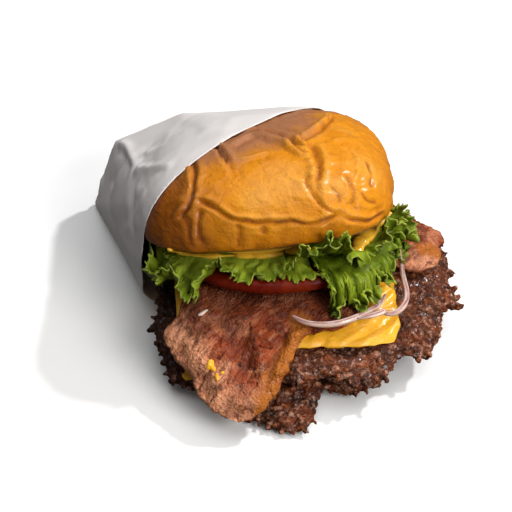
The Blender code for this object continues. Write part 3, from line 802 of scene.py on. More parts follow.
def bacon_finish(settings):
    """Fried back bacon: dark lean, paler cured meat whose colour is partly painted light, orange fat, small
    charred pits, and painted shade in its folds and painted shadow under the filling above.
    """
    r = Recipe("fried_bacon", Specular_IOR_Level=0.2, Coat_Roughness=0.08)
    dark_red = (0.09, 0.012, 0.003)
    pale = r.maths("ADD", r.attribute("pale"), r.times(r.mottle(95.0, 0.42, 0.6), 0.4))
    # Paler cured meat, partly painted light.
    colour = r.mix(r.levels(pale, 0.1, 0.85), settings.lean, settings.cured)
    streaks = r.noise(420, 4, 0.6, r.place((0.22, 1.0, 1.0), (0, 0, BACON_GRAIN_TURN)), 0.6)
    colour = r.mix(r.levels(streaks, 0.5, 0.64, 0.0, 0.8), colour, (0.07, 0.01, 0.003))
    colour = r.mix(r.levels(streaks, 0.47, 0.34, 0.0, 0.4), colour, (0.62, 0.27, 0.13))
    cooked = r.levels(r.attribute("pale"), 0.1, 0.9, 0.75, 0.15)
    colour = r.patched(colour, dark_red, cooked, 110.0, 0.5, 0.6)
    colour = r.mix(r.levels(r.attribute("fat"), 0.25, 0.75), colour, settings.fat)
    # Painted shadow under the filling above.
    colour = r.tinted(colour, (0.07, 0.014, 0.004), 0.7, "under")
    # Painted shade in the hollows of the folds.
    colour = r.tinted(colour, dark_red, 0.6, "rasher_fold_shade")
    colour = r.patched(colour, (0.3, 0.05, 0.008), 0.4, 260.0, 0.5, 0.68)
    colour = r.patched(colour, (0.03, 0.008, 0.004), 0.6, 420.0, 0.66, 0.74)
    colour = r.mix(r.levels(r.attribute("char"), 0.3, 0.8), colour, (0.012, 0.004, 0.003))
    relief = r.maths("ADD", streaks, r.pores(900.0, 0.4))
    wet = r.times(r.mottle(230.0, 0.5, 0.62), 0.35)
    return r.done(colour, r.grease(300.0, 0.16, 0.7), r.bump(relief, 1.2 * MM, 1.0), wet)


def tomato_finish(settings):
    """Wet tomato: red skin with a paler cut face."""
    r = Recipe("wet_tomato", Subsurface_Weight=0.1, Subsurface_Scale=0.003, Specular_IOR_Level=0.15)
    colour = r.mix(r.mottle(110.0, 0.35, 0.7), settings.tomato, (0.2, 0.018, 0.003))
    return r.done(colour, r.grease(150.0, 0.2, 0.45), r.bump(r.pores(420.0, 0.3), 0.3 * MM, 0.4))


def onion_finish(settings):
    """Onion: pale translucent flesh with fine lines along it and a purple skin side."""
    r = Recipe("onion_flesh", Subsurface_Weight=0.2, Subsurface_Scale=0.002)
    lines = r.attribute("line")
    colour = r.mix(r.levels(lines, 0.2, 0.8), settings.onion, (0.3, 0.13, 0.13))
    colour = r.patched(colour, (0.78, 0.66, 0.6), 0.4, 220.0, 0.4, 0.7)
    return r.done(colour, r.grease(300.0, 0.15, 0.4), r.bump(lines, 0.15 * MM, 0.4))


def lettuce_finish(name, leaf, settings):
    """Lettuce: green leaf, paler along its veins and yellow green at its teeth, with painted shade in the
    hollows of its ruffles; the leaf colour is given, so one leaf can get a lighter copy as painted light.
    """
    r = Recipe(
        name, Subsurface_Weight=0.12, Subsurface_Scale=0.002, Specular_IOR_Level=0.1, Coat_Roughness=0.25
    )
    out, veins = r.attribute("out"), r.attribute("vein")
    colour = r.mix(r.levels(out, 0.55, 1.0), leaf, settings.leaf_edge)
    colour = r.mix(r.levels(veins, 0.3, 1.0, 0.0, 0.6), colour, (0.33, 0.4, 0.08))
    colour = r.patched(colour, (0.045, 0.085, 0.004), 0.5, 140.0, 0.4, 0.65)
    # Painted shade in the hollows of the ruffles.
    colour = r.tinted(colour, (0.03, 0.055, 0.002), 0.6, "fold")
    colour = r.mix(r.levels(out, 0.97, 1.0, 0.0, 0.3), colour, (0.42, 0.5, 0.12))
    normal = r.bump(veins, 0.3 * MM, 0.5)
    normal = r.bump(r.pores(650.0, 0.5), 0.25 * MM, 0.5, normal)
    wet = r.times(r.mottle(120.0, 0.5, 0.65), 0.35)
    return r.done(colour, r.grease(240.0, 0.25, 0.5), normal, wet)


def sauce_finish(settings):
    """Mustard sauce: glossy yellow with fine specks."""
    r = Recipe("mustard_sauce", Subsurface_Weight=0.2, Subsurface_Scale=0.002, Specular_IOR_Level=0.6)
    colour = r.patched(settings.sauce, (0.42, 0.16, 0.02), 0.5, 700.0, 0.62, 0.72)
    return r.done(colour, r.grease(260.0, 0.12, 0.3), r.bump(r.noise(350, 3), 0.3 * MM, 0.3))


def paper_finish(settings):
    """Matte greaseproof paper with fine fibres and a few grease marks."""
    r = Recipe("sleeve_paper", Roughness=0.8, Specular_IOR_Level=0.35)
    shade = tuple(0.86 * c for c in settings.white)
    colour = r.patched(settings.white, shade, 0.25, 28.0, 0.4, 0.8)
    normal = r.bump(r.noise(30, 3, 0.4, None, 0.5), 1.2 * MM, 0.2)
    return r.done(colour, None, r.bump(r.pores(1300.0, 0.2), 0.1 * MM, 0.4, normal))


def build_crown(settings):
    """Crown with its creases pressed into the crust."""
    mesh = modified(node_skin("bun_crown"), smoother(3))
    tree = tree_of("bun_crown")
    points = points_of(mesh)
    local = np.array([(crown_place().inverted() @ Vector(p))[:] for p in points])
    height, crack = creased(mesh, tree, CRUST_CREASES)
    height *= settings.crease_height
    soft = 0.5 * MM * lumps(points, 16 * MM, 3.3) + 0.2 * MM * lumps(points, 6 * MM, 8.1)
    bent = warped(points, 6 * MM, 2.0 * MM, 5.0)
    wrinkle = np.clip(1 - 4 * np.abs(lumps(bent, (7 * MM, 7 * MM, 13 * MM), 4.4)), 0, 1)
    right = smooth_step(0, 26 * MM, local[:, 0]) * smooth_step(6 * MM, 12 * MM, local[:, 2])
    belt = 1 - smooth_step(9 * MM, 16 * MM, local[:, 2])
    folds = lumps(bent, (6 * MM, 6 * MM, 30 * MM), 7.7)
    soft += 0.4 * MM * wrinkle * (0.3 + 0.7 * right) + 1.0 * MM * belt * folds
    soft += 0.16 * MM * np.clip(1 - 3 * np.abs(lumps(bent, 3.2 * MM, 9.2)), 0, 1)
    swell(mesh, (height + soft) * smooth_step(1 * MM, 6 * MM, local[:, 2]))
    # Painted shade in the narrow cracks of the creases and in the hollows of the folds near the foot.
    mark(mesh, "groove", np.maximum(crack, 0.5 * belt * np.clip(-2 * folds, 0, 1)))
    # Painted highlight: the crust is made lighter at the listed spots and along its raised creases.
    pale = np.zeros(len(points))
    for u, v, size in HIGHLIGHT_SPOTS:
        pale += around(bent, seen_point(tree, u, v)[0], size * MM)
    mark(mesh, "pale", np.clip(pale + 0.8 * np.clip(height / MM, 0, 1), 0, 1))
    over = beside_line(bent, normals_of(mesh), line_on(tree, TOAST_LINE))[0]
    over += 5 * MM * lumps(points, 9 * MM, 6.1) + 3 * MM * lumps(points, 3 * MM, 2.9)
    behind = smooth_step(18 * MM, 34 * MM, local[:, 1])
    # Painted shade: the crust darkens towards its left side, away from the lights.
    left = smooth_step(22 * MM, 50 * MM, -local[:, 0] - 0.3 * local[:, 1])
    mark(mesh, "dark", left)
    foot = 1 - smooth_step(5 * MM, 15 * MM, local[:, 2])
    mark(mesh, "toast", np.maximum(smooth_step(-6 * MM, 9 * MM, over), behind))
    mark(mesh, "foot", foot)
    return add_piece("crown_crust", mesh, crust_finish(settings), "bread", "bun_crown")


def build_heel(settings):
    """Heel, soft and slightly uneven."""
    mesh = modified(node_skin("bun_heel"), smoother(2))
    points = points_of(mesh)
    swell(mesh, 0.3 * MM * lumps(points, 9 * MM, 2.2) * smooth_step(1 * MM, 4 * MM, points[:, 2]))
    return add_piece("heel_bread", mesh, crumb_finish(settings), "bread_base", "bun_heel")


def rim_points(mesh_points, centre, count, rng):
    """Places on the outermost rim of a slice, at random directions."""
    away = mesh_points - centre
    angles = np.arctan2(away[:, 1], away[:, 0])
    reach = np.hypot(away[:, 0], away[:, 1])
    found = []
    for angle in rng.uniform(-math.pi, math.pi, count):
        near = np.abs((angles - angle + math.pi) % (2 * math.pi) - math.pi) < 0.06
        index = np.flatnonzero(near)[np.argmax(reach[near])]
        found.append(mesh_points[index])
    return found


def build_patty(node, name, seed, settings, finish):
    """Patty of coarse seared grains with crumbs and spurs along its lacy rim."""
    rng = np.random.default_rng(seed)
    bm = node_skin(node)
    points = np.array([v.co[:] for v in bm.verts])
    centre = points.mean(0)
    for _ in range(2):
        bmesh.ops.smooth_vert(bm, verts=bm.verts, factor=0.5, use_axis_x=True, use_axis_y=True)
    points = np.array([v.co[:] for v in bm.verts])
    for vert, point in zip(bm.verts, warped(points, 4.5 * MM, 1.6 * MM, seed + 3)):
        vert.co.xy = point[:2]
    for place in rim_points(points, centre, RIM_CRUMBS, rng):
        out = (place - centre) * (1, 1, 0)
        out /= np.linalg.norm(out)
        radius = rng.uniform(0.6, 1.0) * MM * rng.choice((1.0, 1.0, 1.6, 2.1))
        spot = place + out * rng.uniform(-2.0, 0.3) * MM + np.array((0, 0, rng.uniform(-1.0, 1.4) * MM))
        spot[2] = max(spot[2], 0.9 * radius)
        turn = Matrix.Rotation(math.atan2(out[1], out[0]) + rng.uniform(-0.9, 0.9), 4, "Z")
        shape = Matrix.Diagonal((rng.uniform(1.0, 2.3), rng.uniform(0.6, 1.1), rng.uniform(0.6, 1.0), 1.0))
        bmesh.ops.create_icosphere(
            bm, subdivisions=2, radius=radius, matrix=Matrix.Translation(spot) @ turn @ shape
        )
    mesh = modified(bm, remesher(0.62 * MM))
    points = points_of(mesh)
    bent = warped(points, 3.0 * MM, 1.7 * MM, seed)
    coarse = grains(bent, settings.grain, seed)
    fine = grains(bent, 0.4 * settings.grain, seed + 7)
    lump = lumps(points, 8 * MM, seed)
    height = settings.relief * (coarse + 0.22 * fine - 0.7) + 0.8 * MM * lump
    height *= smooth_step(-0.2 * MM, 1.5 * MM, points[:, 2] + height)
    swell(mesh, height)
    rest_on_floor(mesh)
    # How far each place stands out, which the finish turns into painted shade in the hollows and painted
    # light on the crests.
    mark(mesh, "crest", np.clip(0.6 * coarse + 0.4 * fine + 0.3 * lump, 0, 1))
    # Painted shade: the patties darken towards their left side.
    mark(mesh, "painted_shade_left", smooth_step(24 * MM, 44 * MM, -points[:, 0]))
    return add_piece(name, mesh, finish, "beef", node)


def build_cheese(settings):
    """Cheese slice with soft wrinkles."""
    split = {"levels": 3, "render_levels": 3, "subdivision_type": "SIMPLE"}
    soften = {"factor": 0.5, "iterations": 5}
    mesh = modified(node_skin("cheese_slice"), ("SUBSURF", split), ("SMOOTH", soften))
    points = points_of(mesh)
    turned = turned_by(warped(points, 7 * MM, 1.5 * MM, 3.0), CHEESE_FOLD_TURN)
    front = smooth_step(0.0, 20 * MM, points[:, 0] - 2 * MM)
    folds = 1 - 3 * np.abs(lumps(turned, (15 * MM, 3.4 * MM, 9 * MM), 5.0))
    swell(mesh, 0.65 * MM * front * np.clip(folds, -0.6, 1) + 0.3 * MM * lumps(points, 9 * MM, 1.0))
    return add_piece("cheese_melt", mesh, cheese_finish(settings), "cheese", "cheese_slice")


def build_rasher(node, name, seed, finish, fat_line, pale_line, holes, folds=(), cure=1.0):
    """Rasher with buckled, streaky meat. Fat and paler meat follow their lines, holes are charred, and shade
    is painted in its folds and as shadow under the filling above.
    """
    mesh = modified(node_skin(node), smoother(3))
    points = points_of(mesh)
    bent = warped(points, 6 * MM, 1.8 * MM, seed)
    turned = turned_by(bent, BACON_GRAIN_TURN)
    streaks = 1 - 2.6 * np.abs(lumps(turned, (12 * MM, 3.2 * MM, 6 * MM), seed))
    fine = lumps(turned, (4 * MM, 1.3 * MM, 3 * MM), seed + 2)
    blisters = np.maximum(0, lumps(points, 6 * MM, seed + 3))
    height = 0.6 * streaks + 0.9 * blisters + 0.5 * fine + 1.1 * lumps(points, 11 * MM, seed + 6)
    tree = tree_of(node)
    char = np.zeros(len(points))
    for u, v, size in holes:
        spot = seen_point(tree, u, v)[0]
        if spot is not None:
            char += around(bent, spot, size * MM)
    fold, crack = creased(mesh, tree, folds)
    swell(mesh, (height - 1.3 * char) * MM + 0.8 * fold)
    mark(mesh, "char", char)
    # Painted shade in the hollows of the folds.
    mark(mesh, "rasher_fold_shade", np.clip(np.maximum(0.8 * crack, -fold / (1.2 * MM)), 0, 1))
    # Painted shadow: the rasher darkens where it lies under the tomato and lettuce.
    mark(mesh, "under", smooth_step(-72 * MM, -57 * MM, points[:, 1] - BUN_Y) * (points[:, 0] < 30 * MM))
    for label, line, width, most in (("fat", fat_line, 4.2, 1.0), ("pale", pale_line, 9.0, cure)):
        gone = np.abs(beside_line(bent, normals_of(mesh), line_on(tree, line))[0])
        ragged = gone * (1 + 0.35 * lumps(points, 5 * MM, seed + 9))
        mark(mesh, label, most * bell(ragged, width * MM))
    return add_piece(name, mesh, finish, "bacon", node)


def build_tomato(settings):
    """Tomato slice with a wet rounded edge."""
    mesh = modified(node_skin("tomato_slice"), smoother(3))
    swell(mesh, 0.25 * MM * lumps(points_of(mesh), 12 * MM, 4.0))
    return add_piece("tomato_wet", mesh, tomato_finish(settings), "tomato", "tomato_slice")


def joined_tail(mesh, centre, radius):
    """The side strip with the thin end that runs on to the front strip."""
    points = points_of(mesh)
    level = points[points[:, 0] < np.quantile(points[:, 0], 0.06), 2].mean()
    bm = opened(mesh)
    last = TAIL_BEADS - 1
    for step in range(TAIL_BEADS):
        angle = math.radians(TAIL_START + TAIL_SWEEP * step / last)
        spot = from_bun(centre[0] + radius * math.cos(angle), centre[1] + radius * math.sin(angle))
        spot.z = level - 1.2 * MM * (1 - step / last)
        size = (0.4 + 0.6 * min(1, 2 * step / TAIL_BEADS)) * MM
        place = Matrix.Translation(spot) @ Matrix.Rotation(angle, 4, "Z")
        shape = Matrix.Diagonal((1.3 * size, 1.6 * size, 0.8 * size, 1))
        bmesh.ops.create_icosphere(bm, subdivisions=2, radius=1, matrix=place @ shape)
    return modified(bm, remesher(0.32 * MM), ("SMOOTH", {"iterations": 3}))


def build_onions(settings):
    """Onion strips with fine lines along them."""
    finish = onion_finish(settings)
    for node, (centre, radius) in ONION_ARCS.items():
        mesh = modified(node_skin(node), smoother(2))
        if node == "onion_side":
            mesh = joined_tail(mesh, centre, radius)
        points = points_of(mesh)
        middle = from_bun(*centre)
        across = (np.hypot(points[:, 0] - middle.x, points[:, 1] - middle.y) - radius * MM) / MM
        lines = 0.5 + 0.5 * np.sin(5.2 * across + 2.0 * lumps(points, 9 * MM, 1.5))
        swell(mesh, 0.18 * MM * lines)
        mark(mesh, "line", lines)
        add_piece(f"{node}_strip", mesh, finish, "onion", node)


def frill(stations, share):
    """Place on a leaf's frilled edge, share of the way along it."""
    at = share * (len(stations) - 1)
    first = min(int(at), len(stations) - 2)
    ends = [Vector(stations[max(0, min(len(stations) - 1, first + k))]) for k in (-1, 0, 1, 2)]
    t = at - first
    bow = (ends[2] - ends[0]) * (t - 2 * t * t + t**3) + (ends[3] - ends[1]) * (t**3 - t * t)
    return from_bun(*(ends[1] * (1 - 3 * t * t + 2 * t**3) + ends[2] * (3 * t * t - 2 * t**3) + bow / 2))


def bed_height(tree, x, y):
    """Height of what a leaf lies on, falling away gently beside it."""
    best = 0.0
    for radius, spokes in ((0, 1), (3 * MM, 4), (6 * MM, 6)):
        for k in range(spokes):
            angle = 2 * math.pi * k / spokes
            at = Vector((x + radius * math.cos(angle), y + radius * math.sin(angle), 0.2))
            hit = tree.ray_cast(at, Vector((0, 0, -1)))[0]
            if hit is not None:
                best = max(best, hit.z - 0.2 * radius)
    return best


def leaf_grid(stations, tree, columns, rows):
    """Middle surface of a leaf as a grid of places, and the height of its bed."""
    places = np.zeros((columns + 1, rows + 1, 3))
    bed = np.zeros((columns + 1, rows + 1))
    for i in range(columns + 1):
        edge = frill(stations, i / columns)
        spread = [frill(stations, min(1.0, max(0.0, (i + k) / columns))) for k in EVEN_COLUMNS]
        calm = sum(spread, Vector()) / len(spread)
        angle = math.atan2(edge.y - BUN_Y, edge.x - BUN_X)
        rim = crown_plan(angle - CROWN_YAW) - 6 * MM
        for j in range(rows + 1):
            out = j / rows
            ruffle = max(0.0, (out - LEAF_FLAT_SHARE) / (1 - LEAF_FLAT_SHARE))
            radius = rim * (0.55 + 0.45 * min(1.0, out / LEAF_FLAT_SHARE))
            x, y = BUN_X + radius * math.cos(angle), BUN_Y + radius * math.sin(angle)
            goal = calm.lerp(edge, ruffle**2.4)
            x, y = x + (goal.x - x) * ruffle, y + (goal.y - y) * ruffle
            bed[i, j] = bed_height(tree, x, y)
            ground = bed[i, j] + 1.4 * MM
            rise = ruffle * ruffle * (2.2 - 1.2 * ruffle)
            z = max(ground, ground + (goal.z - ground) * rise)
            point = Vector((x, y, z))
            places[i, j] = beside_crown(point, 1.6 * MM) if ruffle > 0 else point
    return places, bed


def leaf_ways(places):
    """Unit directions out along a leaf's rows, and off its face."""
    outward = np.gradient(places, axis=1)
    facing = np.cross(np.gradient(places, axis=0), outward)
    return [way / (np.linalg.norm(way, axis=2, keepdims=True) + 1e-12) for way in (outward, facing)]


def leaf_noise(run, rows, size, stretch, seed):
    """Noise over a leaf's grid, along its edge and out from its middle."""
    spots = [Vector((r / size, stretch * (k / rows), seed)) for r in run for k in range(rows + 1)]
    return np.array([noise.noise(spot) for spot in spots]).reshape(len(run), rows + 1)


def frilled(places, bed, seed):
    """The grid with its ruffles and teeth."""
    columns, rows = places.shape[0] - 1, places.shape[1] - 1
    outward, facing = leaf_ways(places)
    run = np.concatenate(([0], np.cumsum(np.linalg.norm(np.diff(places[:, -1], axis=0), axis=1))))
    out = np.linspace(0, 1, rows + 1)[None, :]
    ruffle = leaf_noise(run, rows, 4.6 * MM, 1.6, seed)
    small = leaf_noise(run, rows, 1.9 * MM, 2.5, seed + 5)
    teeth = np.array([1 - 2.6 * abs(noise.noise(Vector((r / (2.6 * MM), seed, 9)))) for r in run])
    teeth = np.clip(teeth, 0, 1)[:, None]
    near_edge = smooth_step(0.5, 1.0, out)
    at_edge = smooth_step(0.74, 1.0, out)
    inner = smooth_step(0.3, 0.7, out)
    flat = places.reshape(-1, 3)
    puffs = 1 - 3.4 * np.abs(lumps(warped(flat, 6 * MM, 2 * MM, seed + 4), 7.5 * MM, seed + 1))
    puffs = np.clip(puffs, -0.7, 1).reshape(columns + 1, rows + 1)
    shift = 3.4 * MM * ruffle * near_edge + 1.9 * MM * small * at_edge + 1.3 * MM * puffs * inner
    shift = shift[..., None] * facing
    reach = ((3.6 * teeth - 1.4) * MM * at_edge)[..., None] * outward
    result = places + shift + reach
    for i in range(columns + 1):
        for j in range(rows + 1):
            point = Vector(result[i, j])
            if out[0, j] > LEAF_FLAT_SHARE:
                point = beside_crown(point, 0.9 * MM)
            point.z = max(point.z, bed[i, j] + 0.5 * MM)
            result[i, j] = point
    return result, run


def build_leaf(name, node, stations, under, seed, finish):
    """Leaf as a fine ruffled sheet with toothed edge, given its thickness."""
    columns, rows = 20 * (len(stations) - 1), 30
    places, bed = leaf_grid(stations, tree_of(*under), columns, rows)
    calm = places
    places, run = frilled(places, bed, seed)
    facing = leaf_ways(calm)[1]
    bulge = ((places - calm) * facing * np.where(facing[..., 2:] < 0, -1, 1)).sum(2)
    bm = bmesh.new()
    out_layer = bm.verts.layers.float.new("out")
    vein_layer = bm.verts.layers.float.new("vein")
    ruffle_shade_layer = bm.verts.layers.float.new("fold")
    grid = [[bm.verts.new(places[i, j]) for j in range(rows + 1)] for i in range(columns + 1)]
    for i in range(columns):
        for j in range(rows):
            bm.faces.new((grid[i][j], grid[i + 1][j], grid[i + 1][j + 1], grid[i][j + 1]))
    for i in range(columns + 1):
        wander = noise.noise(Vector((run[i] / (5 * MM), seed, 2)))
        for j in range(rows + 1):
            out = j / rows
            fan = run[i] / (7.5 * MM) + 0.8 * wander
            fan += 0.5 * noise.noise(Vector((run[i] / (3 * MM), out * 3, seed)))
            grid[i][j][out_layer] = out
            # Painted shade in the hollows of the ruffles.
            grid[i][j][ruffle_shade_layer] = min(1.0, max(0.0, -bulge[i, j] / (1.3 * MM) - 0.1))
            grid[i][j][vein_layer] = max(0.0, 1 - abs((fan % 1.0) - 0.5) * 9) * (1 - 0.5 * out)
    mesh = modified(bm, ("SOLIDIFY", {"thickness": 0.55 * MM, "offset": 0.0}))
    return add_piece(name, mesh, finish, "lettuce", node)


def build_sauce(settings):
    """Sauce: the spread under the crown, and the runs that stand out from it."""
    finish = sauce_finish(settings)
    mesh = modified(node_skin("sauce"), smoother(2))
    add_piece("sauce_spread", mesh, finish, "sauce", "sauce")
    tree = tree_of("bun_crown", "lettuce_left", "lettuce_low", "lettuce_high", "tomato_slice")
    bm = bmesh.new()
    for size, picture_line in SAUCE_RUNS:
        line = line_on(tree, picture_line)
        length = np.linalg.norm(np.diff(line, axis=0), axis=1)
        for a, b, gone in zip(line[:-1], line[1:], length):
            count = max(2, int(gone / (0.8 * MM)))
            for k in range(count):
                spot = Vector(a + (b - a) * k / count)
                swing = 1 + 0.7 * noise.noise(spot / (4 * MM))
                shape = Matrix.Translation(spot) @ Matrix.Diagonal((1, 1, 0.7, 1))
                bmesh.ops.create_icosphere(bm, subdivisions=2, radius=size * MM * swing, matrix=shape)
    mesh = modified(bm, remesher(0.5 * MM), ("SMOOTH", {"iterations": 4}))
    return add_piece("sauce_runs", mesh, finish, "sauce")


def sleeve_sheet():
    """The sleeve's outer skin as an even open sheet."""
    bm = bmesh.new()
    bm.from_mesh(NODES["paper_sleeve"].data)
    points = [v.co.copy() for v in bm.verts]
    bm.free()
    foot = from_bun(*MOUTH_FOOT)
    points += [p + MOUTH_NORMAL * 5 * MM for p in points if (p - foot).dot(MOUTH_NORMAL) > -1.5 * MM]
    bm = bmesh.new()
    for point in points:
        bm.verts.new(point)
    bmesh.ops.convex_hull(bm, input=bm.verts)
    loose = [v for v in bm.verts if not v.link_faces]
    bmesh.ops.delete(bm, geom=loose, context="VERTS")
    bm = opened(modified(bm, remesher(1.3 * MM)))
    bmesh.ops.bisect_plane(
        bm,
        geom=bm.verts[:] + bm.edges[:] + bm.faces[:],
        plane_co=foot + MOUTH_NORMAL * 0.6 * MM,
        plane_no=MOUTH_NORMAL,
        clear_outer=True,
    )
    return bm


def build_paper(settings):
    """Sleeve with folds, crumples and a free mouth edge."""
    bm = sleeve_sheet()
    tree = BVHTree.FromBMesh(bm)
    bm.normal_update()
    mesh = closed(bm)
    points = points_of(mesh)
    rng = np.random.default_rng(12)
    height = creased(mesh, tree, PAPER_CREASES)[0]
    for _ in range(CRUMPLES):
        seat = points[rng.integers(len(points))]
        way = rng.normal(size=3)
        way /= np.linalg.norm(way)
        across = np.abs((points - seat) @ way)
        width, reach = rng.uniform(9, 18) * MM, rng.uniform(18, 36) * MM
        near = around(points, seat, reach)
        height += rng.uniform(-0.7, 0.9) * MM * np.clip(1 - across / width, 0, 1) * near
    height += 0.3 * MM * lumps(points, 14 * MM, 2.0)
    height *= smooth_step(0.5 * MM, 6 * MM, points[:, 2])
    swell(mesh, np.clip(height, -2.5 * MM, 3 * MM))
    food = tree_of("bun_crown", "bun_heel", "patty_lower", "patty_upper", "sauce")
    points = points_of(mesh)
    for index, point in enumerate(points):
        near, facing, _, far = food.find_nearest(Vector(point), 4 * MM)
        if near is not None:
            inside = (Vector(point) - near).dot(facing) < 0
            if inside or far < 0.8 * MM:
                points[index] = near + facing * 0.8 * MM
    move_points(mesh, points)
    sheet = ("SOLIDIFY", {"thickness": settings.thickness, "offset": -1.0})
    mesh = modified(opened(mesh), ("SMOOTH", {"factor": 0.5, "iterations": 4}), sheet)
    rest_on_floor(mesh)
    return add_piece("sleeve_sheet", mesh, paper_finish(settings), "paper", "paper_sleeve")


def build_drops(name, tree, drops, finish, slot):
    """Small flattened lumps that lie on a surface."""
    bm = bmesh.new()
    for u, v, long, short, turn in drops:
        spot, facing = seen_point(tree, u, v)
        lay = facing.to_track_quat("Z", "Y").to_matrix().to_4x4()
        shape = Matrix.Rotation(math.radians(turn), 4, "Z") @ Matrix.Diagonal((long, short, 0.55 * short, 1))
        place = Matrix.Translation(spot + facing * 0.25 * short * MM) @ lay @ shape
        bmesh.ops.create_icosphere(bm, subdivisions=3, radius=MM, matrix=place)
    mesh = modified(bm, remesher(0.35 * MM), ("SMOOTH", {"iterations": 3}))
    swell(mesh, 0.35 * MM * lumps(points_of(mesh), 1.6 * MM, 6.0))
    return add_piece(name, mesh, finish, slot)


class BURGER_OT_bread(bpy.types.Operator):
    """Builds the crown and the heel of the roll"""

    bl_idname = "burger.bread"
    bl_label = "Roll"

    def execute(self, context):
        settings = context.scene.burger_bread
        build_crown(settings)
        build_heel(settings)
        return {"FINISHED"}


class BURGER_OT_beef(bpy.types.Operator):
    """Builds the two smashed patties"""

    bl_idname = "burger.beef"
    bl_label = "Patties"

    def execute(self, context):
        settings = context.scene.burger_beef
        finish = beef_finish(settings)
        build_patty("patty_lower", "beef_lower", 11, settings, finish)
        build_patty("patty_upper", "beef_upper", 28, settings, finish)
        return {"FINISHED"}


class BURGER_OT_cheese(bpy.types.Operator):
    """Builds the cheese slice"""

    bl_idname = "burger.cheese"
    bl_label = "Cheese"

    def execute(self, context):
        build_cheese(context.scene.burger_filling)
        return {"FINISHED"}


class BURGER_OT_bacon(bpy.types.Operator):
    """Builds the two rashers of bacon"""

    bl_idname = "burger.bacon"
    bl_label = "Bacon"

    def execute(self, context):
        settings = context.scene.burger_filling
        finish = bacon_finish(settings)
        rasher = build_rasher("bacon_front", "rasher_front", 3.1, finish, *FRONT_MARKS, RASHER_FOLDS)
        build_rasher("bacon_side", "rasher_side", 8.4, finish, *SIDE_MARKS, cure=0.5)
        cheese, fat = cheese_finish(settings), onion_finish(settings)
        front = mesh_tree(rasher.data)
        beef = tree_of("patty_upper", "patty_lower")
        build_drops("cheese_drops", front, CHEESE_DROPS, cheese, "cheese")
        build_drops("cheese_corner", beef, CHEESE_CORNER, cheese, "cheese")
        build_drops("fat_fleck", front, FAT_FLECK, fat, "bacon")
        return {"FINISHED"}


class BURGER_OT_salad(bpy.types.Operator):
    """Builds the tomato, onion and lettuce"""

    bl_idname = "burger.salad"
    bl_label = "Salad"

    def execute(self, context):
        settings = context.scene.burger_filling
        build_tomato(settings)
        build_onions(settings)
        finish = lettuce_finish("frilled_leaf", settings.leaf, settings)
        # Painted light: the left leaf gets a lighter copy of the lettuce finish.
        pale = lettuce_finish("frilled_lit_leaf", settings.leaf_lit, settings)
        under = ["tomato_slice", "onion_front", "onion_side", "bacon_front", "bacon_side", "cheese_slice"]
        build_leaf("leaf_left", "lettuce_left", LEFT_LEAF, under, 2.2, pale)
        under.append("lettuce_left")
        build_leaf("leaf_low", "lettuce_low", LOW_LEAF, under, 6.7, finish)
        under.append("lettuce_low")
        build_leaf("leaf_high", "lettuce_high", HIGH_LEAF, under, 9.1, finish)
        return {"FINISHED"}


class BURGER_OT_sauce(bpy.types.Operator):
    """Builds the sauce"""

    bl_idname = "burger.sauce"
    bl_label = "Sauce"

    def execute(self, context):
        build_sauce(context.scene.burger_filling)
        return {"FINISHED"}


class BURGER_OT_paper(bpy.types.Operator):
    """Builds the paper sleeve"""

    bl_idname = "burger.paper"
    bl_label = "Sleeve"

    def execute(self, context):
        build_paper(context.scene.burger_paper)
        return {"FINISHED"}


def add_area(name, place, aim, size, power, colour=(1, 1, 1)):
    """A square soft light aimed at a point."""
    light = bpy.data.lights.new(name, "AREA")
    light.energy = power
    light.size = size
    light.color = colour
    obj = placed(name, light)
    obj.location = place
    obj.rotation_euler = (Vector(aim) - Vector(place)).to_track_quat("-Z", "Y").to_euler()


def add_sun(name, towards, strength, angle):
    """A distant light that comes from that direction."""
    light = bpy.data.lights.new(name, "SUN")
    light.energy = strength
    light.angle = angle
    placed(name, light).rotation_euler = Vector(towards).to_track_quat("Z", "Y").to_euler()


def build_floor(settings):
    """The plain floor. It takes the shadow, and throws no light back on the dark food."""
    bm = bmesh.new()
    bmesh.ops.create_grid(bm, x_segments=1, y_segments=1, size=3.0)
    mesh = closed(bm, "floor")
    r = Recipe("pale_floor", Roughness=0.9, Specular_IOR_Level=0.0)
    grain = r.noise(8.0, 2)
    colour = r.mix(r.times(grain, 0.02), settings.floor, tuple(0.97 * c for c in settings.floor))
    mesh.materials.append(r.done(colour))
    floor = placed("floor", mesh)
    floor.visible_diffuse = False
    floor.visible_glossy = False


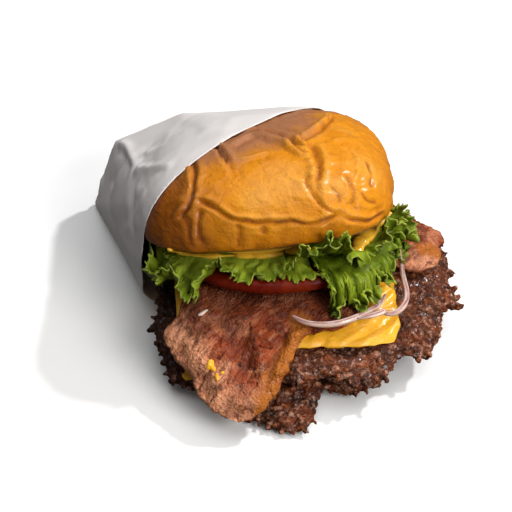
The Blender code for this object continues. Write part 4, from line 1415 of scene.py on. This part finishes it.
class BURGER_OT_stage(bpy.types.Operator):
    """Builds the floor, the lights and the camera"""

    bl_idname = "burger.stage"
    bl_label = "Stage"

    def execute(self, context):
        settings = context.scene.burger_stage
        build_floor(settings)
        add_sun("sun_behind", (0.8, 0.55, 1.0), settings.sun, math.radians(4))
        add_area("key_soft", (1.1, -1.05, 0.95), (0, 0, 0.03), 0.9, settings.key, (1.0, 0.98, 0.95))
        add_area("overhead", (0.1, 0.1, 1.3), (0, 0, 0), 1.6, settings.overhead)
        world = bpy.data.worlds.new("studio")
        world.use_nodes = True
        world.node_tree.nodes["Background"].inputs["Color"].default_value = (1, 1, 1, 1)
        world.node_tree.nodes["Background"].inputs["Strength"].default_value = settings.fill
        context.scene.world = world
        context.scene.view_settings.view_transform = "Standard"
        camera = bpy.data.cameras.new("camera")
        camera.sensor_width = SENSOR
        camera.lens = FOCAL_PIXELS * SENSOR / FRAME_PIXELS
        camera.clip_start = 0.01
        camera.clip_end = 20
        obj = placed("camera", camera)
        obj.matrix_world = camera_place()
        context.scene.camera = obj
        return {"FINISHED"}


OPERATORS = (
    BURGER_OT_bread,
    BURGER_OT_beef,
    BURGER_OT_cheese,
    BURGER_OT_bacon,
    BURGER_OT_salad,
    BURGER_OT_sauce,
    BURGER_OT_paper,
    BURGER_OT_stage,
)
SETTINGS = {
    "burger_bread": BreadSettings,
    "burger_beef": BeefSettings,
    "burger_filling": FillingSettings,
    "burger_paper": PaperSettings,
    "burger_stage": StageSettings,
}


class BURGER_PT_panel(bpy.types.Panel):
    """Lists the pieces and their settings"""

    bl_idname = "BURGER_PT_panel"
    bl_label = "Burger"
    bl_space_type = "VIEW_3D"
    bl_region_type = "UI"
    bl_category = "Burger"

    def draw(self, context):
        for operator in OPERATORS:
            self.layout.operator(operator.bl_idname)
        for name, kind in SETTINGS.items():
            box = self.layout.box()
            box.label(text=kind.__doc__)
            for field in kind.__annotations__:
                box.prop(getattr(context.scene, name), field)


def register():
    for kind in (*SETTINGS.values(), *OPERATORS, BURGER_PT_panel):
        bpy.utils.register_class(kind)
    for name, kind in SETTINGS.items():
        setattr(bpy.types.Scene, name, bpy.props.PointerProperty(type=kind))


def unregister():
    for name in SETTINGS:
        delattr(bpy.types.Scene, name)
    for kind in (BURGER_PT_panel, *OPERATORS, *SETTINGS.values()):
        bpy.utils.unregister_class(kind)


def main():
    register()
    for operator in OPERATORS:
        group, name = operator.bl_idname.split(".")
        getattr(getattr(bpy.ops, group), name)()


if __name__ == "__main__":
    main()
